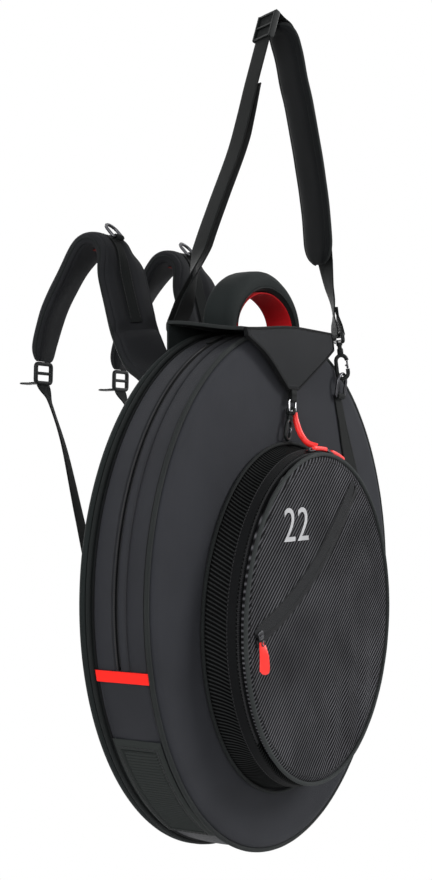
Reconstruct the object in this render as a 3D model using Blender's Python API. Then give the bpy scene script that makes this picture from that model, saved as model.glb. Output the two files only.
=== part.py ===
"""Cymbal bag: a round padded case with a front pocket, a shoulder strap and two backpack straps.

Metres, +Z up, the pocket side faces -Y, +X is to the right seen from the front.
Shapes are drawn about the centre of the front rim, and the whole bag hangs below
the origin, which is the point where the shoulder strap is hung up.
"""
import math
import bpy
import bmesh
from mathutils import Matrix, Vector

for old in list(bpy.data.objects):
    bpy.data.objects.remove(old)

# Clearances and shared values
SEAT = 0.0003
RUN_GAP = 0.0006
TINY = 0.00001
RING_STEPS = 72
CORD_SIDES = 8
ROUND_SIDES = 12
SHARP_ANGLE = math.radians(35)
CROWN_SHARE = 1.25

# Round body: front rim plane is y = 0, depth runs to +Y
BAG_RADIUS = 0.3010
PIPING_RADIUS = 0.0026
GUSSET_WALL = 0.0080
PANEL_THICKNESS = 0.0076
BAG_DEPTH = 0.0700
BACK_PAD = 0.0108
ZIP_SHARE = 0.57
ZIP_HALF_WIDTH = 0.0011
ZIP_TEETH_HEIGHT = 0.0040
RIM_ROUND = 0.0025
TAB_ANGLE = math.radians(-14.0)
TAB_WIDTH = 0.0120
TAB_THICKNESS = 0.0016
PATCH_FROM = math.radians(-28.0)
PATCH_TO = math.radians(-60.0)
PATCH_THICKNESS = 0.0022
PATCH_MARGIN = 0.0030

# Pocket on the front panel
POCKET_TOP_DROP = 0.1355
POCKET_RADIUS = 0.1900
POCKET_FLARE = 0.0085
POCKET_DEPTH = 0.0516
POCKET_WALL = 0.0050
POCKET_PIPING = 0.0024
POCKET_ZIP_BACK = 0.0084
POCKET_LID = 0.0040
POCKET_RIM = 0.0036
POCKET_ZIP_HALF_ANGLE = math.radians(130.0)
BASE_PIPING = 0.0020

# Curved zip across the pocket
SLOT_SIDE_SHARE = 1.578947
SLOT_RISE_SHARE = 2.526316
SLOT_RADIUS_SHARE = 2.652632
SLOT_FROM = math.radians(-75.0)
SLOT_TO = math.radians(-40.5)
SLOT_TAPE = 0.0110
SLOT_THICKNESS = 0.0012
SLOT_STEPS = 160

# Stiff roof over the zip, its rear skirt and its front flap
ROOF_SIDE_GAP = 0.0170
ROOF_FRONT = 0.0100
ROOF_THICKNESS = 0.0036
ROOF_CORNER = 0.0060
SKIRT_DROP = 0.0400
SKIRT_THICKNESS = 0.0028
FLAP_DROP = 0.0720
FLAP_TIP = 0.0260
FLAP_THICKNESS = 0.0030
FLAP_OFF_EDGE = 0.0018
FLAP_INSET = 0.0050

# Carrying handle
HANDLE_INSET = 0.0500
HANDLE_RISE = 0.0420
HANDLE_WIDTH = 0.0400
HANDLE_THICKNESS = 0.0250
LINING_THICKNESS = 0.0030
HANDLE_STEPS = 20
ARCH_CROWN_SHARE = 0.3

# Webbing, rings and snap hooks
WEB_WIDTH = 0.0300
WEB_THICKNESS = 0.0020
LOOP_WALL = 0.0016
RING_WIRE = 0.0020
D_RING_WIDTH = 0.0280
D_RING_HEIGHT = 0.0300
D_STEPS = 12
STRAP_HOOK = {"wire": 0.0025, "height": 0.0340, "width": 0.0190, "neck": 0.0120, "neck_radius": 0.0034,
              "eye": 0.0095, "eye_width": WEB_WIDTH + 6 * RUN_GAP}
FLAP_HOOK = {"wire": 0.0017, "height": 0.0270, "width": 0.0150, "neck": 0.0040, "neck_radius": 0.0024,
             "eye": 0.0070, "eye_width": 0.0050}
HOOK_STEPS = 4
MOUTH_SHARE = 0.40
GATE_WIRE = 0.0014
GATE_PIVOT_SHARE = 3.0
ANCHOR_SHARE = 0.455150
ANCHOR_Y = -0.0135
ANCHOR_DROP = 0.0445
LEFT_ANCHOR_SHARE = -0.255814
LEFT_RING_STAND = 0.0155
RIGHT_BAR = Vector((0.770, 0.640, 0))
HOOK_LEAN_SHARE = 0.15
HOOK_SLACK = 0.0014
STRIP_LENGTH = 0.1200
STRIP_SLANT = 0.0500
STRIP_FLARE = 0.0220
BACK_TAB = 0.0300

# Shoulder strap: routes are (along the loop's plane, height over the rim's top)
STRAP_RISE = 0.3690
APEX_X = 0.0440
APEX_Y = 0.0375
PAD_WIDTH = 0.0520
PAD_THICKNESS = 0.0120
PAD_CROWN_SHARE = 0.8
PAD_END_SHARES = [0.55, 0.85, 1.0]
PAD_STEPS = 26
PAD_ROUTE = [(0.0210, 0.3755), (0.0341, 0.3680), (0.0446, 0.3436), (0.0522, 0.3115), (0.0613, 0.2782),
             (0.0758, 0.2120), (0.0850, 0.1584), (0.0903, 0.1042), (0.0919, 0.0894)]
TAIL_ROUTE = [(0.1120, 0.0410), (0.1060, 0.0640)]
LEFT_ROUTE = [(0.0170, 0.3905), (0.0033, 0.3447), (-0.0105, 0.2987), (-0.0216, 0.2590), (-0.0352, 0.2160),
              (-0.0609, 0.1540), (-0.0805, 0.1050), (-0.1000, 0.0490)]
WEB_STEPS = 40
TURN_STEPS = 8
WEB_RETURN = 0.0120
LAYER_GAP = 0.0080
LAYER_OPEN_SHARE = 0.45
LAYER_TURN_SHARE = 0.7
RETURN_STEPS = 10
TWIST_HEIGHT = 0.0900
GLIDE_LENGTH = 0.0340
GLIDE_RAIL = 0.0026
GLIDE_STEP = 0.0006
GLIDE_STEPS = 2

# Flap hardware
RING_FINE = 0.0012
RING_DROP = 0.0130
LOOP_WIDTH = 0.0130
LOOP_RISE = 0.0100
FLAP_HOOK_X = -0.0030
FLAP_HOOK_LEAN_SHARE = 0.30
CORD_RADIUS = 0.0036
CORD_STEPS = 8
CORD_ROUTE = [(0.0055, -0.0118, -0.0976), (0.0056, -0.0130, -0.1050), (0.0075, -0.0180, -0.1210),
              (0.0120, -0.0250, -0.1325), (0.0180, -0.0350, -0.1370)]

# Zip sliders and pull tabs
SLIDER_ANGLE = math.radians(13.5)
SLIDER_LENGTH = 0.0110
SLIDER_HALF = 0.0050
SLIDER_HEIGHT = 0.0042
PULL_LENGTH = 0.0340
PULL_THICKNESS = 0.0018
PULL_HALF = 0.0042
PULL_PIN = 0.0016
POCKET_SLIDER_RIGHT = math.radians(80.5)
PULL_SPACE = 0.0032
LID_SLIDER_SHARE = 0.025
LID_TAB_LENGTH = 0.0330
LID_TAB_WIDTH = 0.0120

# Backpack straps: the pad's route is (y, height over the rim's top), the webbing's is shares of the way
# from its buckle to its foot, in y and in height
PACK_SPACING = 0.1700
PACK_WIDTH = 0.0650
PACK_THICKNESS = 0.0180
PACK_END_SHARES = [0.35, 0.55, 0.8, 1.0]
PACK_END_WIDTH_SHARE = 0.8
PACK_ROUTE = [(0.0882, -0.1360), (0.0965, -0.1010), (0.1090, -0.0760), (0.1240, -0.0540),
              (0.1380, -0.0330), (0.1520, -0.0010), (0.1650, 0.0440), (0.1760, 0.0840), (0.1900, 0.1050),
              (0.2120, 0.1040), (0.2400, 0.0740), (0.2680, 0.0290), (0.2820, -0.0110), (0.2840, -0.0330)]
PACK_TAIL_SHARES = [(0.0740, 0.0695), (0.1641, 0.1751), (0.2742, 0.3577), (0.4244, 0.5931),
                    (0.6747, 0.8130), (0.8649, 0.9274)]
PACK_STEPS = 32
PACK_TAIL_STEPS = 20
PACK_FOOT_RISE = 0.0860
PACK_WEB = 0.0250
BUCKLE_WIRE = 0.0024
BUCKLE_HEIGHT = 0.0230
LEVER_LENGTH = 0.0260
LEVER_THICKNESS = 0.0030
RING_SEAT_STEPS = 19
PACK_RING_HEIGHT = 0.0220
PACK_RING_WIDTH = 0.0250

BLACK = (0.010, 0.011, 0.013)
CLOTH = (0.030, 0.031, 0.035)
RED = (0.72, 0.03, 0.02)
STEEL = (0.62, 0.62, 0.64)

# Places that follow from the sizes above
RIM_CENTRE = BAG_RADIUS - PIPING_RADIUS
ANCHOR_Z = BAG_RADIUS - ANCHOR_DROP
ANCHOR_X = BAG_RADIUS * ANCHOR_SHARE
LEFT_ANCHOR_X = BAG_RADIUS * LEFT_ANCHOR_SHARE
STRAP_TOP = BAG_RADIUS + STRAP_RISE
ROOF_WIDTH = 2 * (ANCHOR_X - ROOF_SIDE_GAP)
HANDLE_SPAN = ROOF_WIDTH - 2 * HANDLE_INSET
POCKET_BASE_RADIUS = POCKET_RADIUS + POCKET_FLARE
POCKET_DROP = POCKET_BASE_RADIUS + POCKET_TOP_DROP - BAG_RADIUS
SLOT_CENTRE_X = -POCKET_RADIUS * SLOT_SIDE_SHARE
SLOT_CENTRE_Z = POCKET_RADIUS * SLOT_RISE_SHARE - POCKET_DROP
SLOT_RADIUS = POCKET_RADIUS * SLOT_RADIUS_SHARE
GUSSET_OUT = RIM_CENTRE - PIPING_RADIUS / 2
GUSSET_IN = GUSSET_OUT - GUSSET_WALL
PANEL_RADIUS = RIM_CENTRE - PIPING_RADIUS - SEAT
PANEL_BACK = PIPING_RADIUS
PANEL_FRONT = PANEL_BACK - PANEL_THICKNESS
GUSSET_FRONT = PANEL_BACK + SEAT
GUSSET_BACK = BAG_DEPTH - PIPING_RADIUS - SEAT
ZIP_Y = BAG_DEPTH * ZIP_SHARE
FRONT_EDGE = ZIP_Y - ZIP_HALF_WIDTH - SEAT
REAR_EDGE = ZIP_Y + ZIP_HALF_WIDTH + SEAT
BACK_FRONT = GUSSET_BACK + SEAT
BACK_RIM = BAG_DEPTH + PIPING_RADIUS + SEAT
BACK_FACE = BACK_RIM + BACK_PAD
LEFT_ANCHOR_Y = BACK_FACE + LEFT_RING_STAND
HINGE_Z = -BAG_RADIUS - PIPING_RADIUS
REAR_HINGE = (0, BACK_FACE, HINGE_Z)
ROOF_UNDER = BAG_RADIUS + RUN_GAP
ROOF_TOP = ROOF_UNDER + ROOF_THICKNESS
ROOF_BACK = BACK_FACE + SEAT + SKIRT_THICKNESS
FLAP_AXIS_Y = -ROOF_FRONT - FLAP_OFF_EDGE
FLAP_AXIS_Z = ROOF_TOP - FLAP_OFF_EDGE
FLAP_BACK = -ROOF_FRONT - SEAT
FLAP_FRONT = FLAP_BACK - FLAP_THICKNESS
FLAP_TIP_Z = FLAP_AXIS_Z - FLAP_DROP
FLAP_HINGE = (0, FLAP_AXIS_Y, FLAP_AXIS_Z)
POCKET_CENTRE = (0, 0, -POCKET_DROP)
LID_RADIUS = POCKET_RADIUS - 2 * POCKET_PIPING - SEAT
POCKET_ZIP_Y = -POCKET_DEPTH + POCKET_ZIP_BACK
POCKET_WALL_Y = POCKET_ZIP_Y + ZIP_HALF_WIDTH + SEAT
LID_BACK = POCKET_ZIP_Y - ZIP_HALF_WIDTH - SEAT
LID_FACE = -POCKET_DEPTH
LID_HINGE_Z = -POCKET_DROP - POCKET_RADIUS - POCKET_PIPING
HANG = Vector((APEX_X, APEX_Y, STRAP_TOP))

bag = bpy.data.objects.new("bag_centre", None)
bpy.context.scene.collection.objects.link(bag)
bag.location = -HANG


def material(name, colour, roughness, metallic):
    made = bpy.data.materials.new(name)
    made.use_nodes = True
    shader = made.node_tree.nodes["Principled BSDF"]
    shader.inputs["Base Color"].default_value = (*colour, 1)
    shader.inputs["Roughness"].default_value = roughness
    shader.inputs["Metallic"].default_value = metallic
    made.diffuse_color = (*colour, 1)
    return made


FABRIC_ROUGH = 0.85
PLASTIC_ROUGH = 0.45
METAL_ROUGH = 0.25
LOOKS = {
    "cloth": (CLOTH, FABRIC_ROUGH, 0),
    "black": (BLACK, FABRIC_ROUGH, 0),
    "plastic": (BLACK, PLASTIC_ROUGH, 0),
    "red": (RED, FABRIC_ROUGH, 0),
    "steel": (STEEL, METAL_ROUGH, 1),
}


def finish(name, shape, look, origin=(0, 0, 0)):
    """Turns a bmesh drawn about the bag's centre into a named object on its own origin."""
    origin = Vector(origin)
    bmesh.ops.remove_doubles(shape, verts=shape.verts, dist=TINY)
    bmesh.ops.recalc_face_normals(shape, faces=shape.faces)
    bmesh.ops.translate(shape, verts=shape.verts, vec=-origin)
    mesh = bpy.data.meshes.new(name)
    shape.to_mesh(mesh)
    shape.free()
    made = bpy.data.objects.new(name, mesh)
    bpy.context.scene.collection.objects.link(made)
    made.parent = bag
    made.location = origin
    mesh.materials.append(material(name, *LOOKS[look]))
    mesh.shade_smooth()
    mesh.set_sharp_from_angle(angle=SHARP_ANGLE)
    return made


def loft(rings, closed=False):
    """Skins rings of points; the ends are capped unless the rings close on themselves."""
    shape = bmesh.new()
    rows = [[shape.verts.new(p) for p in ring] for ring in rings]
    pairs = list(zip(rows, rows[1:]))
    if closed:
        pairs.append((rows[-1], rows[0]))
    count = len(rows[0])
    for low, high in pairs:
        for i in range(count):
            j = (i + 1) % count
            shape.faces.new((low[i], low[j], high[j], high[i]))
    if not closed:
        shape.faces.new(list(reversed(rows[0])))
        shape.faces.new(rows[-1])
    return shape


def smooth_path(points, count):
    """A Catmull-Rom curve through the points, sampled at even steps of its parameter."""
    points = [Vector(p) for p in points]
    ends = [2 * points[0] - points[1]] + points + [2 * points[-1] - points[-2]]
    found = []
    for k in range(count + 1):
        t = k / count * (len(points) - 1)
        i = min(int(t), len(points) - 2)
        u = t - i
        a, b, c, d = ends[i:i + 4]
        found.append(0.5 * (2 * b + (c - a) * u + (2 * a - 5 * b + 4 * c - d) * u ** 2
                            + (3 * b - a - 3 * c + d) * u ** 3))
    return found


def tangents(points, closed=False):
    """The way that a path runs at each of its points."""
    last = len(points) - 1
    found = []
    for i in range(len(points)):
        before = points[i - 1] if i or closed else points[i]
        after = points[(i + 1) % len(points)] if i < last or closed else points[i]
        found.append((after - before).normalized())
    return found


def tube(points, radius, sides=CORD_SIDES, closed=False):
    """A round bar along a path, carried without twist."""
    points = [Vector(p) for p in points]
    ways = tangents(points, closed)
    side = ways[0].orthogonal().normalized()
    rings = []
    for point, way in zip(points, ways):
        side = (side - way * side.dot(way)).normalized()
        other = way.cross(side)
        rings.append([point + radius * (math.cos(a) * side + math.sin(a) * other)
                      for a in (2 * math.pi * k / sides for k in range(sides))])
    return loft(rings, closed)


def ribbon(points, side, width, thickness, crown=0):
    """A flat strap along a path. side is the way its width runs, or a list with one for each point."""
    points = [Vector(p) for p in points]
    rings = []
    for i, (point, way) in enumerate(zip(points, tangents(points))):
        across = side[i] if isinstance(side, list) else side
        across = (across - way * across.dot(way)).normalized()
        out = across.cross(way)
        w = (width[i] if isinstance(width, list) else width) / 2
        t = (thickness[i] if isinstance(thickness, list) else thickness) / 2
        if crown:
            corners = [(w, 0), (w - t * crown, t), (0, t * CROWN_SHARE), (t * crown - w, t),
                       (-w, 0), (t * crown - w, -t), (0, -t * CROWN_SHARE), (w - t * crown, -t)]
        else:
            corners = [(w, -t), (w, t), (-w, t), (-w, -t)]
        rings.append([point + across * a + out * b for a, b in corners])
    return loft(rings)


def turned(profile, start=0, end=2 * math.pi, centre=(0, 0, 0), steps=RING_STEPS):
    """Turns (radius, y) points about an axis along Y; angles run up from +X.

    Every arc has its points on one shared grid of angles, so stacked arcs keep their gap.
    """
    low, high = min(start, end), max(start, end)
    full = high - low > 2 * math.pi - TINY
    step = 2 * math.pi / steps
    angles = [k * step for k in range(math.floor(low / step) + 1, math.ceil(high / step))]
    angles = [k * step for k in range(steps)] if full else [low, *angles, high]
    centre = Vector(centre)
    rings = []
    for a in angles:
        rings.append([centre + Vector((r * math.cos(a), y, r * math.sin(a))) for r, y in profile])
    return loft(rings, full)


def disc(profile, centre=(0, 0, 0)):
    """A solid turned disc: the outline goes rim only, and flat faces close both sides."""
    centre = Vector(centre)
    rings = [[centre + Vector((r * math.cos(a), y, r * math.sin(a)))
              for a in (2 * math.pi * k / RING_STEPS for k in range(RING_STEPS))] for r, y in profile]
    return loft(rings)


def box(low, high):
    """A plain block between two corners."""
    shape = bmesh.new()
    low, high = Vector(low), Vector(high)
    bmesh.ops.create_cube(shape, size=1)
    bmesh.ops.scale(shape, verts=shape.verts, vec=high - low)
    bmesh.ops.translate(shape, verts=shape.verts, vec=(low + high) / 2)
    return shape


def prism(outline, low, high):
    """A plate: an outline of (x, z) points pushed from y = low to y = high."""
    return loft([[Vector((x, y, z)) for x, z in outline] for y in (low, high)])


def joined(*shapes):
    """Boolean union of closed shapes that overlap, as one new bmesh."""
    work = []
    for shape in shapes:
        bmesh.ops.remove_doubles(shape, verts=shape.verts, dist=TINY)
        bmesh.ops.recalc_face_normals(shape, faces=shape.faces)
        mesh = bpy.data.meshes.new("work")
        shape.to_mesh(mesh)
        shape.free()
        helper = bpy.data.objects.new("work", mesh)
        bpy.context.scene.collection.objects.link(helper)
        work.append(helper)
    for other in work[1:]:
        step = work[0].modifiers.new("step", "BOOLEAN")
        step.operation = "UNION"
        step.solver = "EXACT"
        step.object = other
    bpy.context.view_layer.update()
    seen = work[0].evaluated_get(bpy.context.evaluated_depsgraph_get())
    result = bmesh.new()
    result.from_mesh(seen.to_mesh())
    seen.to_mesh_clear()
    for helper in work:
        bpy.data.objects.remove(helper)
    return result


def torus(radius, y, tube_radius, centre=(0, 0, 0)):
    """A round ring about an axis along Y."""
    profile = [(radius + tube_radius * math.cos(a), y + tube_radius * math.sin(a))
               for a in (2 * math.pi * k / CORD_SIDES for k in range(CORD_SIDES))]
    return turned(profile, centre=centre)


def body_shell():
    """Front panel, gusset strips, pipings and zip of the round case."""
    up = math.pi
    low_end = TAB_ANGLE
    zip_start = low_end + (TAB_WIDTH / 2 + SEAT) / GUSSET_OUT
    zip_end = up - zip_start
    finish("front_panel", disc([
        (PANEL_RADIUS - RIM_ROUND, PANEL_FRONT),
        (PANEL_RADIUS, PANEL_FRONT + RIM_ROUND),
        (PANEL_RADIUS, PANEL_BACK),
    ]), "cloth")
    finish("front_piping", torus(RIM_CENTRE, 0, PIPING_RADIUS), "black")
    finish("front_gusset", turned([
        (GUSSET_IN, GUSSET_FRONT), (GUSSET_OUT, GUSSET_FRONT),
        (GUSSET_OUT, FRONT_EDGE), (GUSSET_IN, FRONT_EDGE),
    ], zip_start, zip_end), "cloth")
    finish("rear_gusset", turned([
        (GUSSET_IN, REAR_EDGE), (GUSSET_OUT, REAR_EDGE),
        (GUSSET_OUT, GUSSET_BACK), (GUSSET_IN, GUSSET_BACK),
    ], zip_start, zip_end), "cloth", REAR_HINGE)
    finish("main_zip_teeth", turned([
        (GUSSET_OUT - ZIP_TEETH_HEIGHT, ZIP_Y - ZIP_HALF_WIDTH), (GUSSET_OUT, ZIP_Y - ZIP_HALF_WIDTH),
        (GUSSET_OUT, ZIP_Y + ZIP_HALF_WIDTH), (GUSSET_OUT - ZIP_TEETH_HEIGHT, ZIP_Y + ZIP_HALF_WIDTH),
    ], zip_start, zip_end), "plastic")
    finish("lower_gusset", turned([
        (GUSSET_IN, GUSSET_FRONT), (GUSSET_OUT, GUSSET_FRONT),
        (GUSSET_OUT, GUSSET_BACK), (GUSSET_IN, GUSSET_BACK),
    ], zip_start - SEAT / GUSSET_IN, -up - zip_start + SEAT / GUSSET_IN), "cloth")
    tab = [(GUSSET_OUT + SEAT, GUSSET_FRONT), (GUSSET_OUT + SEAT + TAB_THICKNESS, GUSSET_FRONT),
           (GUSSET_OUT + SEAT + TAB_THICKNESS, GUSSET_BACK), (GUSSET_OUT + SEAT, GUSSET_BACK)]
    half = (TAB_WIDTH / 2) / GUSSET_OUT
    finish("tab_right", turned(tab, low_end - half, low_end + half), "red")
    finish("tab_left", turned(tab, up - low_end - half, up - low_end + half), "red")
    patch_low = GUSSET_FRONT + PATCH_MARGIN
    patch_high = GUSSET_BACK - PATCH_MARGIN
    patch = [(GUSSET_OUT + SEAT, patch_low), (GUSSET_OUT + SEAT + PATCH_THICKNESS, patch_low),
             (GUSSET_OUT + SEAT + PATCH_THICKNESS, patch_high), (GUSSET_OUT + SEAT, patch_high)]
    finish("patch_right", turned(patch, PATCH_FROM, PATCH_TO), "plastic")
    finish("patch_left", turned(patch, up - PATCH_FROM, up - PATCH_TO), "plastic")
    finish("rear_piping", torus(RIM_CENTRE, BAG_DEPTH, PIPING_RADIUS), "black", REAR_HINGE)
    finish("rear_panel", disc([
        (PANEL_RADIUS, BACK_FRONT),
        (PANEL_RADIUS, BACK_RIM),
        (BAG_RADIUS, BACK_RIM),
        (BAG_RADIUS, BACK_FACE - RIM_ROUND),
        (BAG_RADIUS - RIM_ROUND, BACK_FACE),
    ]), "black", REAR_HINGE)


def roof():
    """The stiff plate over the zip, its rear skirt and the triangular front flap."""
    half = ROOF_WIDTH / 2
    finish("roof_plate", box((-half, -ROOF_FRONT, ROOF_UNDER), (half, ROOF_BACK, ROOF_TOP)), "plastic")
    skirt_top = ROOF_UNDER - SEAT
    finish("rear_skirt", box((-half, BACK_FACE + SEAT, skirt_top - SKIRT_DROP),
                             (half, ROOF_BACK, skirt_top)), "cloth", REAR_HINGE)
    tip = FLAP_TIP / 2
    edge = half - FLAP_INSET
    shoulder = edge - ROOF_CORNER
    corner_z = FLAP_AXIS_Z - ROOF_CORNER
    outline = [(-edge, corner_z), (-shoulder, FLAP_AXIS_Z), (shoulder, FLAP_AXIS_Z),
               (edge, corner_z), (tip, FLAP_TIP_Z), (-tip, FLAP_TIP_Z)]
    finish("front_flap", prism(outline, FLAP_FRONT, FLAP_BACK), "cloth", FLAP_HINGE)


def handle():
    """A padded arch over the roof with a thin lining inside it."""
    foot = HANDLE_SPAN / 2
    base = ROOF_TOP + SEAT
    turns = [math.pi * k / HANDLE_STEPS for k in range(HANDLE_STEPS + 1)]
    route = [Vector((-foot * math.cos(a), ZIP_Y, base + HANDLE_RISE * math.sin(a))) for a in turns]
    grip = arch(route, HANDLE_WIDTH, 0, HANDLE_THICKNESS, base)
    finish("handle_grip", grip, "cloth")
    lining_width = HANDLE_WIDTH - 2 * LINING_THICKNESS
    finish("handle_lining", arch(route, lining_width, -LINING_THICKNESS - SEAT, -SEAT, base), "red")


def arch(route, width, inner, outer, floor):
    """A band between two offsets of an arch, its feet cut level at the floor."""
    rings = []
    last = len(route) - 1
    for k, (point, way) in enumerate(zip(route, tangents(route))):
        out = Vector((-way.z, 0, way.x))
        if k in (0, last):
            out = Vector((-1 if k == 0 else 1, 0, 0))
        w = width / 2
        crown = (outer - inner) * ARCH_CROWN_SHARE
        corners = [(-w, inner), (-w, outer - crown), (-w + crown, outer), (w - crown, outer),
                   (w, outer - crown), (w, inner)]
        rings.append([point + Vector((0, a, 0)) + out * b for a, b in corners])
    for ring in (rings[0], rings[-1]):
        for p in ring:
            p.z = floor
    return loft(rings)


def pocket():
    """The round pocket: sloping wall, zip, lid with piping, and the base piping."""
    base_y = PANEL_FRONT - SEAT
    front = POCKET_RADIUS
    finish("pocket_wall", turned([
        (POCKET_BASE_RADIUS - POCKET_WALL, base_y), (POCKET_BASE_RADIUS, base_y),
        (front, POCKET_WALL_Y), (front - POCKET_WALL, POCKET_WALL_Y),
    ], centre=POCKET_CENTRE), "cloth")
    finish("pocket_base_piping", torus(POCKET_BASE_RADIUS + BASE_PIPING + SEAT, base_y - BASE_PIPING,
                                       BASE_PIPING, POCKET_CENTRE), "black")
    top = math.pi / 2
    finish("pocket_zip_teeth", turned([
        (front - POCKET_WALL, POCKET_ZIP_Y - ZIP_HALF_WIDTH), (front, POCKET_ZIP_Y - ZIP_HALF_WIDTH),
        (front, POCKET_ZIP_Y + ZIP_HALF_WIDTH), (front - POCKET_WALL, POCKET_ZIP_Y + ZIP_HALF_WIDTH),
    ], top - POCKET_ZIP_HALF_ANGLE, top + POCKET_ZIP_HALF_ANGLE, POCKET_CENTRE), "plastic")
    hinge = (0, LID_BACK, LID_HINGE_Z)
    inner = LID_RADIUS - POCKET_RIM
    finish("pocket_lid", disc([
        (inner, LID_FACE + POCKET_LID), (inner, LID_BACK), (LID_RADIUS, LID_BACK),
        (LID_RADIUS, LID_FACE), (LID_RADIUS - RIM_ROUND, LID_FACE - RIM_ROUND / 2),
    ], POCKET_CENTRE), "cloth", hinge)
    finish("pocket_front_piping", torus(POCKET_RADIUS - POCKET_PIPING, LID_FACE, POCKET_PIPING,
                                        POCKET_CENTRE), "black", hinge)
    slot_y = LID_FACE - RIM_ROUND / 2 - SEAT
    tape = SLOT_TAPE / 2
    finish("lid_zip", turned([
        (SLOT_RADIUS - tape, slot_y - SLOT_THICKNESS), (SLOT_RADIUS + tape, slot_y - SLOT_THICKNESS),
        (SLOT_RADIUS + tape, slot_y), (SLOT_RADIUS - tape, slot_y),
    ], SLOT_FROM, SLOT_TO, (SLOT_CENTRE_X, 0, SLOT_CENTRE_Z), SLOT_STEPS), "plastic", hinge)


def strap_frame():
    """The plane of the strap's loop: along it, across it, and how far across it lies."""
    right = Vector((ANCHOR_X, ANCHOR_Y, 0))
    left = Vector((LEFT_ANCHOR_X, LEFT_ANCHOR_Y, 0))
    along = (right - left).normalized()
    across = Vector((-along.y, along.x, 0))
    return along, across, across * across.dot(right)


def hook_frame(ring_top, hook, bar, up, held_wire):
    """Axes of a snap hook and the lowest point of its centreline, under the ring that it holds."""
    up = up.normalized()
    bar = (bar - up * bar.dot(up)).normalized()
    side = bar.cross(up)
    return ring_top - up * (held_wire + HOOK_SLACK + hook["wire"]), bar, side, up


def eye_height(hook):
    """Height of the eye's upper bar over the lowest point of the hook's centreline."""
    return hook["height"] + hook["neck"] + hook["eye"]


def snap_hook(name, gate_name, hook, place, origin):
    """A swivel snap hook: an eye for the webbing, a neck, an open C and a sprung gate."""
    low, bar, side, up = place
    wire = hook["wire"]

    def at(b, s, u):
        return low + bar * b + side * s + up * u

    half = hook["width"] / 2 - wire
    top = hook["height"] - 2 * wire
    route = []
    for k in range(2 * HOOK_STEPS + 1):
        a = math.pi * k / (2 * HOOK_STEPS)
        route.append(at(0, half * math.cos(a), top - half + half * math.sin(a)))
    for k in range(2 * HOOK_STEPS + 1):
        a = math.pi + math.pi * k / (2 * HOOK_STEPS)
        route.append(at(0, half * math.cos(a), half + half * math.sin(a)))
    tip = MOUTH_SHARE * top
    route.append(at(0, half, tip))
    base = hook["height"] + hook["neck"]
    neck = tube([at(0, 0, top), at(0, 0, base)], hook["neck_radius"], ROUND_SIDES)
    w = hook["eye_width"] / 2 + wire
    eye = tube([at(-w, 0, base), at(w, 0, base), at(w, 0, base + hook["eye"]), at(-w, 0, base + hook["eye"])],
               wire, closed=True)
    finish(name, joined(tube(route, wire), neck, eye), "plastic", origin)
    gate_top = top - half - SEAT
    pivot = at(0, half, gate_top - GATE_PIVOT_SHARE * GATE_WIRE)
    finish(gate_name, tube([at(0, half, gate_top), at(0, half, tip + SEAT)], GATE_WIRE), "plastic", pivot)


def end_shares(shares, steps):
    """A share of the full size for each point of a path: the listed ones from both ends, then the last."""
    return [shares[min(k, steps - k, len(shares) - 1)] for k in range(steps + 1)]


def wrap(bar_at, side, radius):
    """Half a turn of webbing under a bar, from one side of it to the other."""
    angles = [math.pi * k / TURN_STEPS for k in range(TURN_STEPS + 1)]
    return [bar_at + side * (radius * math.cos(a)) - Vector((0, 0, radius * math.sin(a))) for a in angles]


def shoulder_strap(right_place, left_place):
    """The pad, the one length of webbing through both snap hooks, and its tri-glide."""
    along, across, offset = strap_frame()

    def on_plane(route):
        return [along * s + offset + Vector((0, 0, BAG_RADIUS + z)) for s, z in route]

    low, right_bar, right_side, up = right_place
    right_eye = low + up * eye_height(STRAP_HOOK)
    low, left_bar, left_side, up = left_place
    left_eye = low + up * eye_height(STRAP_HOOK)
    pad_route = smooth_path(on_plane(PAD_ROUTE), PAD_STEPS)
    shares = end_shares(PAD_END_SHARES, PAD_STEPS)
    finish("shoulder_pad", ribbon(pad_route, across, [PAD_WIDTH * s for s in shares],
                                  [PAD_THICKNESS * s for s in shares], crown=PAD_CROWN_SHARE), "cloth")
    stand = PAD_THICKNESS * CROWN_SHARE / 2 + RUN_GAP + WEB_THICKNESS / 2
    outer = [p - across.cross(way) * stand for p, way in zip(pad_route, tangents(pad_route))][1::2]
    turn = STRAP_HOOK["wire"] + RUN_GAP + WEB_THICKNESS / 2
    near = wrap(right_eye, right_side, turn)
    free_end = near[0] + Vector((0, 0, WEB_RETURN))
    rise = smooth_path([near[-1], *on_plane(TAIL_ROUTE), *reversed(outer)], WEB_STEPS)
    far = wrap(left_eye, Vector((0, 1, 0)), turn)
    descent = smooth_path([*on_plane(LEFT_ROUTE), far[0]], WEB_STEPS)
    inner = []
    for k, p in enumerate(descent[:-1]):
        share = k / WEB_STEPS
        foot_share = max(0, (share - LAYER_TURN_SHARE) / (1 - LAYER_TURN_SHARE))
        open_share = min(1, share / LAYER_OPEN_SHARE)
        inner.append(p + along * LAYER_GAP * open_share * (1 - foot_share) + (far[-1] - far[0]) * foot_share)
    whole = [free_end, *near[:-1], *rise, *descent[:-1], *far, *reversed(inner[RETURN_STEPS:])]
    sides = []
    for k, p in enumerate(whole):
        foot, eye = (right_bar, right_eye) if k < len(near) + len(rise) else (left_bar, left_eye)
        high = max(0, min(1, (p.z - eye.z) / TWIST_HEIGHT))
        sides.append(foot * (1 - high) + across * high)
    finish("shoulder_webbing", ribbon(whole, sides, WEB_WIDTH, WEB_THICKNESS), "black")
    tri_glide(descent, across)


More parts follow.
